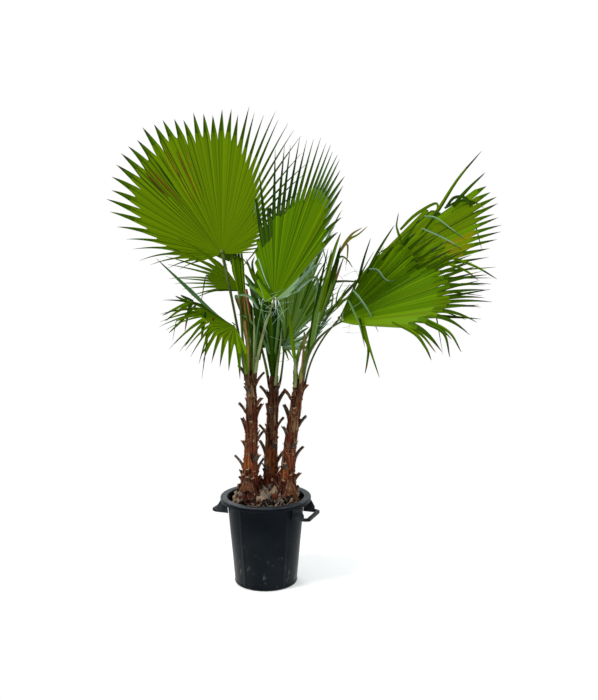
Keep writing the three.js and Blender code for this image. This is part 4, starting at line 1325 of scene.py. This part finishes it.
# Segments that have torn loose, arched over or hang down, by the fan they belong to: width, tones and path.
# Many of these points were worked out by another program and are not chosen by hand.
loose = {
    "right_high": [
        (16, (GREEN, BRIGHT, TIP),
         ((568, -93, 1551), (628, -93, 1611), (719, -20, 1662), (731, -30, 1641), (704, -45, 1590))),
        (15, (SHADE, DEEP, SHADE),
         ((760, -80, 1646), (792, -90, 1684), (840, -110, 1676), (862, -140, 1600), (893, -170, 1471))),
        (13, (SHADE, DEEP, DEEP),
         ((752, -84, 1640), (810, -100, 1668), (864, -120, 1664), (905, -130, 1640))),
        (20, (BRIGHT, GREEN, TIP), ((655, -30, 1528), (733, -32, 1634), (813, -40, 1763), (907, -50, 1877))),
        (18, (DEEP, GREEN, TIP), ((790, -60, 1650), (850, -75, 1720), (915, -95, 1785))),
        (9, (SHEEN, SHEEN_DIM, SHEEN_DIM),
         ((670, -70, 1607), (716, -85, 1600), (764, -160, 1557), (805, -250, 1516))),
        (9, (SHEEN_DIM, SHEEN, UNDER), ((647, -175, 1557), (740, -195, 1514), (789, -285, 1477))),
        (12, (BRIGHT, GREEN, GREEN), ((566, -150, 1501), (520, -140, 1480), (476, -110, 1453))),
        (12, (BRIGHT, GREEN, TIP), ((572, -90, 1500), (560, -86, 1540), (553, -86, 1570), (561, -86, 1622))),
        (14, (DEEP, GREEN, TIP), ((563, -150, 1490), (610, -120, 1545), (657, -60, 1603))),
        (16, (LIME, FRESH, TIP),
         ((727, -230, 1454), (766, -300, 1434), (838, -350, 1404), (912, -380, 1358))),
        (15, (LIME, BRIGHT, DRY),
         ((700, -240, 1431), (752, -320, 1409), (800, -350, 1387), (842, -370, 1354))),
    ],
    "right_front": [
        (7, (LIME, BRIGHT, GREEN), ((278, -175, 1227), (286, -175, 1281), (278, -175, 1309))),
        (6, (LIME, GREEN, GREEN), ((295, -175, 1231), (307, -175, 1297), (331, -175, 1342))),
        (7, (BRIGHT, LIME, GREEN), ((307, -175, 1239), (327, -175, 1289), (356, -175, 1330))),
        (6, (LIME, BRIGHT, DRY), ((287, -175, 1215), (332, -175, 1260), (364, -175, 1301))),
        (12, (DEEP, SHADE, TIP), ((391, -130, 1336), (415, -128, 1430), (443, -125, 1517))),
        (14, (DEEP, GREEN, TIP), ((438, -125, 1396), (490, -122, 1490), (541, -119, 1570))),
        (11, (SHEEN, SHEEN_DIM, SHEEN_DIM),
         ((437, -135, 1389), (468, -165, 1386), (498, -220, 1348), (528, -250, 1347))),
    ],
    "right_low": [
        (10, (SHEEN, SHEEN_DIM, SHEEN_DIM),
         ((352, -420, 1318), (380, -440, 1285), (415, -450, 1231), (449, -450, 1160))),
        (9, (SHEEN_DIM, UNDER, SHEEN_DIM),
         ((337, -420, 1278), (358, -450, 1232), (375, -510, 1187), (394, -510, 1108))),
        (14, (DEEP, GREEN, RUST),
         ((375, -470, 1215), (392, -462, 1150), (411, -460, 1102), (406, -460, 1039), (399, -460, 1000))),
        (15, (LIME, BRIGHT, GREEN),
         ((384, -480, 1222), (400, -480, 1150), (420, -479, 1085), (453, -479, 988))),
        (15, (BRIGHT, GREEN, TIP),
         ((470, -760, 1226), (530, -880, 1200), (565, -900, 1155), (585, -901, 1112))),
        (13, (LIME, BRIGHT, DRY), ((500, -800, 1222), (560, -830, 1190), (611, -829, 1128))),
        (13, (GREEN, DEEP, TIP), ((575, -820, 1228), (625, -900, 1200), (645, -908, 1122))),
        (12, (BRIGHT, GREEN, TIP), ((590, -800, 1235), (646, -890, 1202), (685, -894, 1138))),
    ],
    "centre_tall": [
        (46, (LIME, GREEN, DEEP), ((40, -184, 1269), (18, -178, 1294), (-11, -170, 1333), (-31, -162, 1377))),
        (44, (LIME, GREEN, DEEP), ((40, -182, 1268), (13, -176, 1278), (-15, -168, 1302), (-38, -160, 1333))),
        (24, (UNDER, SHEEN_DIM, DEEP),
         ((38, -176, 1269), (-2, -166, 1289), (-47, -150, 1314), (-79, -140, 1332))),
        (18, (PALE_AND_SHEEN, SHEEN, SHEEN), ((126, -60, 1307), (164, -40, 1353), (211, -30, 1395), (245, -20, 1412))),
        (26, (PALE_AND_SHEEN, SHEEN, SHEEN), ((220, 10, 1209), (229, 10, 1287), (224, 10, 1364))),
        (16, (SHEEN, PALE_AND_SHEEN, UNDER), ((138, -30, 1297), (181, -20, 1331), (228, -10, 1360))),
        (9, (UNDER, PALE_AND_SHEEN, UNDER), ((52, -170, 1260), (114, -160, 1288), (180, -150, 1316))),
        (8, (LIME, UNDER, UNDER), ((52, -175, 1264), (106, -165, 1280), (155, -155, 1300))),
    ],
    "left_low": [
        (13, (DEEP, GREEN, TIP), ((-300, -205, 1258), (-330, -225, 1272), (-352, -241, 1285))),
        (12, (DEEP, SHADE, TIP), ((-285, -200, 1262), (-322, -215, 1280), (-330, -235, 1288))),
        (14, (GREEN, DEEP, TIP), ((-128, -58, 1148), (-160, -70, 1128), (-196, -90, 1090))),
        (15, (LIME, GREEN, TIP), ((-290, -200, 1262), (-350, -205, 1234), (-410, -210, 1203))),
        (14, (BRIGHT, GREEN, TIP), ((-290, -200, 1252), (-350, -205, 1218), (-399, -210, 1180))),
        (17, (DEEP, SHADE, DRY), ((-285, -200, 1262), (-303, -205, 1222), (-320, -205, 1137))),
        (22, (SHADE, DEEP, DRY), ((-240, -185, 1215), (-246, -190, 1161), (-255, -190, 1101))),
        (14, (GREEN, LIME, TIP), ((-240, -185, 1180), (-286, -190, 1124), (-324, -190, 1073))),
        (17, (LIME, GREEN, TIP), ((-160, -130, 1160), (-212, -140, 1104), (-262, -145, 1031))),
        (14, (GREEN, DEEP, TIP), ((-275, -200, 1244), (-336, -205, 1178), (-385, -210, 1131))),
        (15, (DEEP, RUST, DRY), ((-205, -160, 1190), (-230, -170, 1134), (-245, -170, 1072))),
    ],
    "middle_right": [
        (12, (PALE_AND_SHEEN, SHEEN, SHEEN), ((191, 40, 1071), (225, 30, 1096), (251, 20, 1121))),
        (12, (SHEEN, UNDER, SHEEN), ((195, 40, 1093), (238, 30, 1120), (273, 20, 1152))),
        (13, (PALE_AND_SHEEN, SHEEN_DIM, SHEEN), ((204, 40, 1119), (251, 30, 1142), (290, 20, 1178))),
        (12, (SHEEN, SHEEN_DIM, SHEEN), ((208, 40, 1145), (260, 30, 1170), (299, 20, 1204))),
        (12, (PALE_AND_SHEEN, UNDER, SHEEN), ((212, 40, 1172), (264, 30, 1199), (298, 20, 1234))),
        (11, (SHEEN, SHEEN_DIM, UNDER), ((217, 40, 1198), (264, 30, 1225), (294, 20, 1260))),
        (10, (SHEEN, UNDER, UNDER), ((221, 40, 1224), (260, 30, 1251), (285, 20, 1286))),
        (30, (PALE_AND_SHEEN, SHEEN, SHEEN), ((79, 112, 1036), (143, 85, 1036), (210, 55, 1043))),
        (30, (SHEEN, PALE_AND_SHEEN, SHEEN), ((79, 112, 1038), (143, 80, 1053), (213, 50, 1073))),
        (28, (PALE_AND_SHEEN, UNDER, SHEEN), ((79, 112, 1041), (138, 85, 1069), (205, 60, 1102))),
        (26, (SHEEN, UNDER, UNDER), ((79, 112, 1041), (129, 90, 1085), (192, 70, 1130))),
        (18, (UNDER, GREEN, UNDER), ((75, 112, 1041), (48, 95, 1126), (30, 82, 1290))),
        (20, (YOUNG_AND_LIT, SHEEN_DIM, GREEN), ((76, 112, 1041), (58, 90, 1140), (48, 78, 1320))),
        (22, (UNDER, GREEN, DEEP), ((77, 112, 1041), (70, 88, 1150), (68, 72, 1330))),
        (22, (YOUNG_AND_LIT, UNDER, DEEP), ((78, 112, 1041), (84, 88, 1150), (90, 72, 1330))),
        (20, (GREEN, DEEP, SHADE), ((79, 112, 1041), (98, 92, 1150), (112, 80, 1310))),
        (22, (DEEP, GREEN, SHADE), ((74, 112, 1043), (61, 94, 1131), (50, 92, 1207), (50, 90, 1273))),
        (20, (SHADE, DEEP, DEEP), ((74, 112, 1043), (49, 94, 1109), (29, 92, 1164), (17, 90, 1218))),
        (20, (LIME, BRIGHT, UNDER), ((130, -60, 992), (121, -85, 1068), (111, -95, 1166), (103, -100, 1259))),
        (13, (LIME, BRIGHT, GREEN), ((76, 118, 1040), (88, 105, 1014), (101, 100, 978))),
        (13, (BRIGHT, LIME, GREEN), ((78, 118, 1040), (100, 100, 1021), (119, 95, 990))),
        (12, (LIME, BRIGHT, GREEN), ((75, 118, 1040), (79, 105, 1017), (78, 100, 992))),
        (12, (UNDER, BRIGHT, GREEN), ((80, 118, 1042), (110, 100, 1030), (136, 95, 1004))),
    ],
    "middle_left": [(8, (SHADE, SHADE, SHADE), ((-128, 238, 1280), (-235, 232, 1280), (-335, 225, 1246)))],
}
# Fine pale threads curl about these hubs: how many, and within what reach.
threads = {
    "centre_tall": (24, 110),
    "right_low": (10, 90),
    "right_high": (12, 100),
    "middle_right": (20, 120),
}

for frond in fronds:
    made = fan(frond)
    for width, tones, path in loose.get(frond["name"], ()):
        strap(made, path, width, tones)
    number, far = threads.get(frond["name"], (0, 0))
    rng = random.Random("threads " + frond["name"])
    for _ in range(number):
        at = Vector(frond["hub"]) + Vector([rng.uniform(-0.55, 0.55) * far for _ in range(3)])
        way = Vector((rng.uniform(-1, 1), rng.uniform(-0.5, 0.3), rng.uniform(-0.6, 0.8))).normalized()
        turn = Vector([rng.uniform(-1, 1) for _ in range(3)])
        knots = [at]
        for k in range(4):
            way = (way + turn * 0.35).normalized()
            knots.append(knots[-1] + way * rng.uniform(0.12, 0.28) * far)
        tube(made, smooth_path(knots, 12), (0.9, 0.4), 3, PALE_AND_SHEEN)
    blade = make_piece("fan_blade_" + frond["name"], made["points"], made["faces"], leaf_tones, made["slots"])
    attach(blade, "root")
    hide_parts("fan_" + frond["name"])

# ---- The spears -----------------------------------------------------------------------------------------
# The youngest frond of each stem, still shut: a few broad segments lie folded against each other like a
# closed paper fan. The left one has dry patches; the right one is opening and dry at its blunt end.
spears = {
    "left": dict(
        halves=(9, 10, 15, 25, 24), thick=9, folds=4, span=0.96,
        path=((-85, 40, 1150), (-115, 105, 1350), (-138, 185, 1545)), tones=(GREEN, MID, DEEP), end=GREEN,
        patches=((0, 0.12, 0.5), (2, 0.28, 0.46)),
    ),
    "middle": dict(
        # The middle spear's dark greens are painted shade: it stands in shade behind the stalks.
        halves=(14, 28, 33, 30, 14), thick=11, folds=4, span=0.98,
        path=((28, 54, 1060), (10, 56, 1180), (-6, 58, 1290)), tones=(SHADE, DEEP, DEEP), end=DEEP,
        patches=(),
    ),
    "right": dict(
        halves=(7, 11, 17, 26, 27), thick=11, folds=4, span=0.97,
        path=((190, -30, 1050), (250, -40, 1250), (330, -30, 1480)), tones=(YOUNG_AND_LIT, LIME, YOUNG_AND_LIT, DEEP),
        end=YELLOW, patches=((1, 0.9, 1.0), (3, 0.84, 1.0)),
    ),
}


def spear(name, form):
    """Broad blades side by side, each a V seen from its edge, that part a little at the top."""
    rng = random.Random("spear " + name)
    foot = stem_centre(stems[name], 0.985)
    parts = 24
    path = smooth_path([foot, *[Vector(p) for p in form["path"]]], parts)
    piece = blank()
    folds, halves, span = form["folds"], form["halves"], form["span"]
    steps = 22
    for f in range(folds):
        rows, ups, thicks = [], [], []
        end = span * rng.uniform(0.93, 1.0)
        for k in range(steps + 1):
            t = k / steps * end
            i = min(int(t * parts), parts - 1)
            centre = path[i].lerp(path[i + 1], t * parts - i)
            tangent = (path[i + 1] - path[i]).normalized()
            breadth = (Vector((1, 0, 0)) - tangent * tangent.x).normalized()
            depth = breadth.cross(tangent)
            u = t * (len(halves) - 1)
            part = min(int(u), len(halves) - 2)
            wide = lerp(halves[part], halves[part + 1], u - part)
            free = max(0, (k / steps - 0.82) / 0.18)
            row = []
            for c in (-1, 0, 1):
                v = ((f + 0.5 + c * 0.56 * (1 - 0.8 * free**1.5)) / folds) * 2 - 1
                bulge = math.sqrt(max(0, 1 - v * v)) * form["thick"] * wide / max(halves)
                crest = (0.0 if c else 6) * wide / max(halves)
                row.append(centre + breadth * (v * wide) + depth * (bulge + crest + 1.5 * (f % 2)))
            rows.append(row)
            ups.append(depth)
            thicks.append(blade_thick)
        first, second = (form["tones"][(f + step) % len(form["tones"])] for step in (0, 1))
        patches = [(low, high) for which, low, high in form["patches"] if which == f]

        def tone(k, c, side):
            if any(low <= k / steps <= high for low, high in patches):
                return DRY
            return form["end"] if k > steps - 3 else (first if c else second)

        slab(piece, rows, ups, thicks, tone)
    return piece


# Loose blades beside the spears, as in loose; many of these points too were worked out by another program.
spear_loose = {
    "left": [
        (14, (DEEP, SHADE, DEEP), ((-43, -20, 1004), (-64, -20, 1121), (-85, -10, 1253))),
        (16, (SHEEN_DIM, DEEP, UNDER), ((-40, 0, 1005), (-31, 10, 1122), (-9, 20, 1251))),
        (18, (SHADE, DEEP, SHEEN_DIM), ((-27, 10, 991), (-12, 20, 1099), (14, 30, 1233))),
        (20, (SHADE, DEEP, DEEP), ((-32, 20, 1034), (-40, 30, 1186), (-70, 40, 1320))),
        (18, (RUST, DRY, DRY), ((-82, 20, 1299), (-74, 20, 1238), (-61, 10, 1148))),
        (14, (DRY, RUST, RUST), ((-94, 30, 1268), (-90, 25, 1208), (-75, 20, 1121))),
        (16, (GREEN, DEEP, GREEN), ((-72, 30, 1032), (-97, 40, 1154), (-115, 50, 1263))),
        (22, (DEEP, GREEN, DEEP), ((-2, 20, 1277), (-50, 30, 1351), (-82, 40, 1430))),
        (16, (SHADE, DEEP, DEEP), ((-13, 30, 1287), (-40, 40, 1334), (-56, 50, 1403), (-45, 50, 1440))),
        (34, (SHEEN_DIM, DEEP, DEEP), ((-24, 60, 1256), (-62, 60, 1318), (-90, 60, 1362))),
        (11, (DEEP, SHADE, DEEP), ((-10, 90, 1256), (-42, 90, 1348), (-111, 90, 1445))),
        (8, (GREEN, DEEP, GREEN), ((-19, 80, 1499), (-52, 80, 1450), (-111, 80, 1381))),
        (5, (SHEEN, PALE_AND_SHEEN, PALE_AND_SHEEN), ((-21, -120, 1433), (5, -140, 1357), (37, -170, 1288))),
        (30, (MID, GREEN, MID), ((-146, 150, 1428), (-136, 135, 1367), (-121, 120, 1310), (-103, 90, 1245))),
        (26, (GREEN, MID, DEEP), ((-123, 160, 1428), (-115, 140, 1367), (-105, 120, 1310), (-89, 90, 1245))),
        (20, (DRY, TIP, RUST), ((-129, 60, 1271), (-118, 55, 1234), (-106, 50, 1191))),
        (44, (DEEP, SHADE, GREEN), ((-23, 70, 1037), (-53, 75, 1132), (-77, 80, 1246))),
        (44, (SHADE, GREEN, DEEP), ((-6, 80, 1036), (-25, 85, 1131), (-37, 85, 1227), (-43, 85, 1274))),
        (44, (GREEN, SHADE, DEEP), ((8, 85, 1036), (8, 90, 1131), (11, 90, 1217), (8, 90, 1255))),
    ],
    # The blades about the middle spear are dark green leaves, darkened further by painted shade where they
    # lie inside the crown.
    "middle": [
        (18, (SHADE, DEEP, TIP), ((24, 46, 990), (-10, 40, 1110), (-60, 36, 1220), (-104, 40, 1300))),
        (20, (DEEP, SHADE, TIP), ((24, 46, 990), (-2, 38, 1120), (-38, 32, 1240), (-72, 34, 1330))),
        (18, (SHEEN_DIM, DEEP, TIP), ((26, 46, 990), (4, 34, 1120), (-18, 28, 1240), (-44, 30, 1320))),
        (22, (SHADE, DEEP, DEEP), ((28, 46, 990), (14, 34, 1120), (2, 26, 1230), (-16, 24, 1310))),
        (20, (DEEP, GREEN, TIP), ((30, 46, 990), (26, 34, 1110), (20, 26, 1210), (10, 24, 1290))),
        (22, (SHADE, SHADE, DEEP), ((32, 46, 990), (38, 36, 1100), (40, 30, 1190), (38, 30, 1270))),
        (18, (SHEEN_DIM, UNDER, TIP), ((34, 46, 990), (50, 38, 1090), (60, 34, 1180), (64, 36, 1262))),
        (16, (UNDER, SHEEN_DIM, SHEEN_DIM),
         ((22, 44, 1010), (-24, 30, 1100), (-70, 20, 1168), (-118, 14, 1190))),
        (15, (SHEEN, SHEEN_DIM, SHEEN_DIM),
         ((-30, 20, 1215), (-62, 8, 1262), (-98, 0, 1275), (-132, -4, 1262))),
    ],
    "right": [
        (16, (YELLOW, DRY, DRY), ((318, -40, 1455), (345, -42, 1500), (372, -40, 1535), (413, -38, 1560))),
        (12, (BRIGHT, YELLOW, DRY), ((322, -40, 1468), (360, -42, 1512), (396, -38, 1532), (436, -36, 1566))),
        (10, (DRY, YELLOW, DRY), ((326, -45, 1478), (350, -48, 1490), (352, -48, 1450), (346, -48, 1404))),
        (9, (GREEN, BRIGHT, TIP), ((300, -45, 1420), (328, -48, 1440), (356, -48, 1420), (372, -48, 1394))),
        (14, (SHADE, DEEP, SHADE), ((262, -50, 1290), (296, -50, 1360), (316, -46, 1440), (322, -40, 1490))),
        (30, (YOUNG_AND_LIT, YOUNG_AND_LIT, BRIGHT),
         ((201, -56, 1050), (223, -64, 1188), (245, -68, 1277), (264, -68, 1365), (285, -60, 1470))),
        (30, (YOUNG_AND_LIT, BRIGHT, YOUNG_AND_LIT),
         ((229, -72, 1210), (250, -76, 1290), (275, -76, 1390), (312, -66, 1520))),
        (22, (BRIGHT, YOUNG_AND_LIT, YELLOW),
         ((252, -78, 1320), (276, -80, 1400), (300, -74, 1480), (322, -66, 1540))),
        (20, (DEEP, GREEN, SHADE),
         ((189, -52, 1044), (209, -58, 1177), (226, -62, 1266), (243, -62, 1354), (270, -54, 1475))),
        (26, (SHADE, DEEP, SHADE), ((242, -46, 1218), (268, -50, 1302), (290, -52, 1370), (318, -46, 1478))),
        (5, (PALE_AND_SHEEN, YOUNG_AND_LIT, YOUNG_AND_LIT), ((208, -62, 1060), (232, -72, 1200), (262, -74, 1340), (288, -66, 1460))),
    ],
}
for name, form in spears.items():
    made = spear(name, form)
    for width, tones, path in spear_loose[name]:
        strap(made, path, width, tones)
    shut_frond = make_piece("spear_blade_" + name, made["points"], made["faces"], leaf_tones, made["slots"])
    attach(shut_frond, "root")
    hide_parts("spear_" + name)
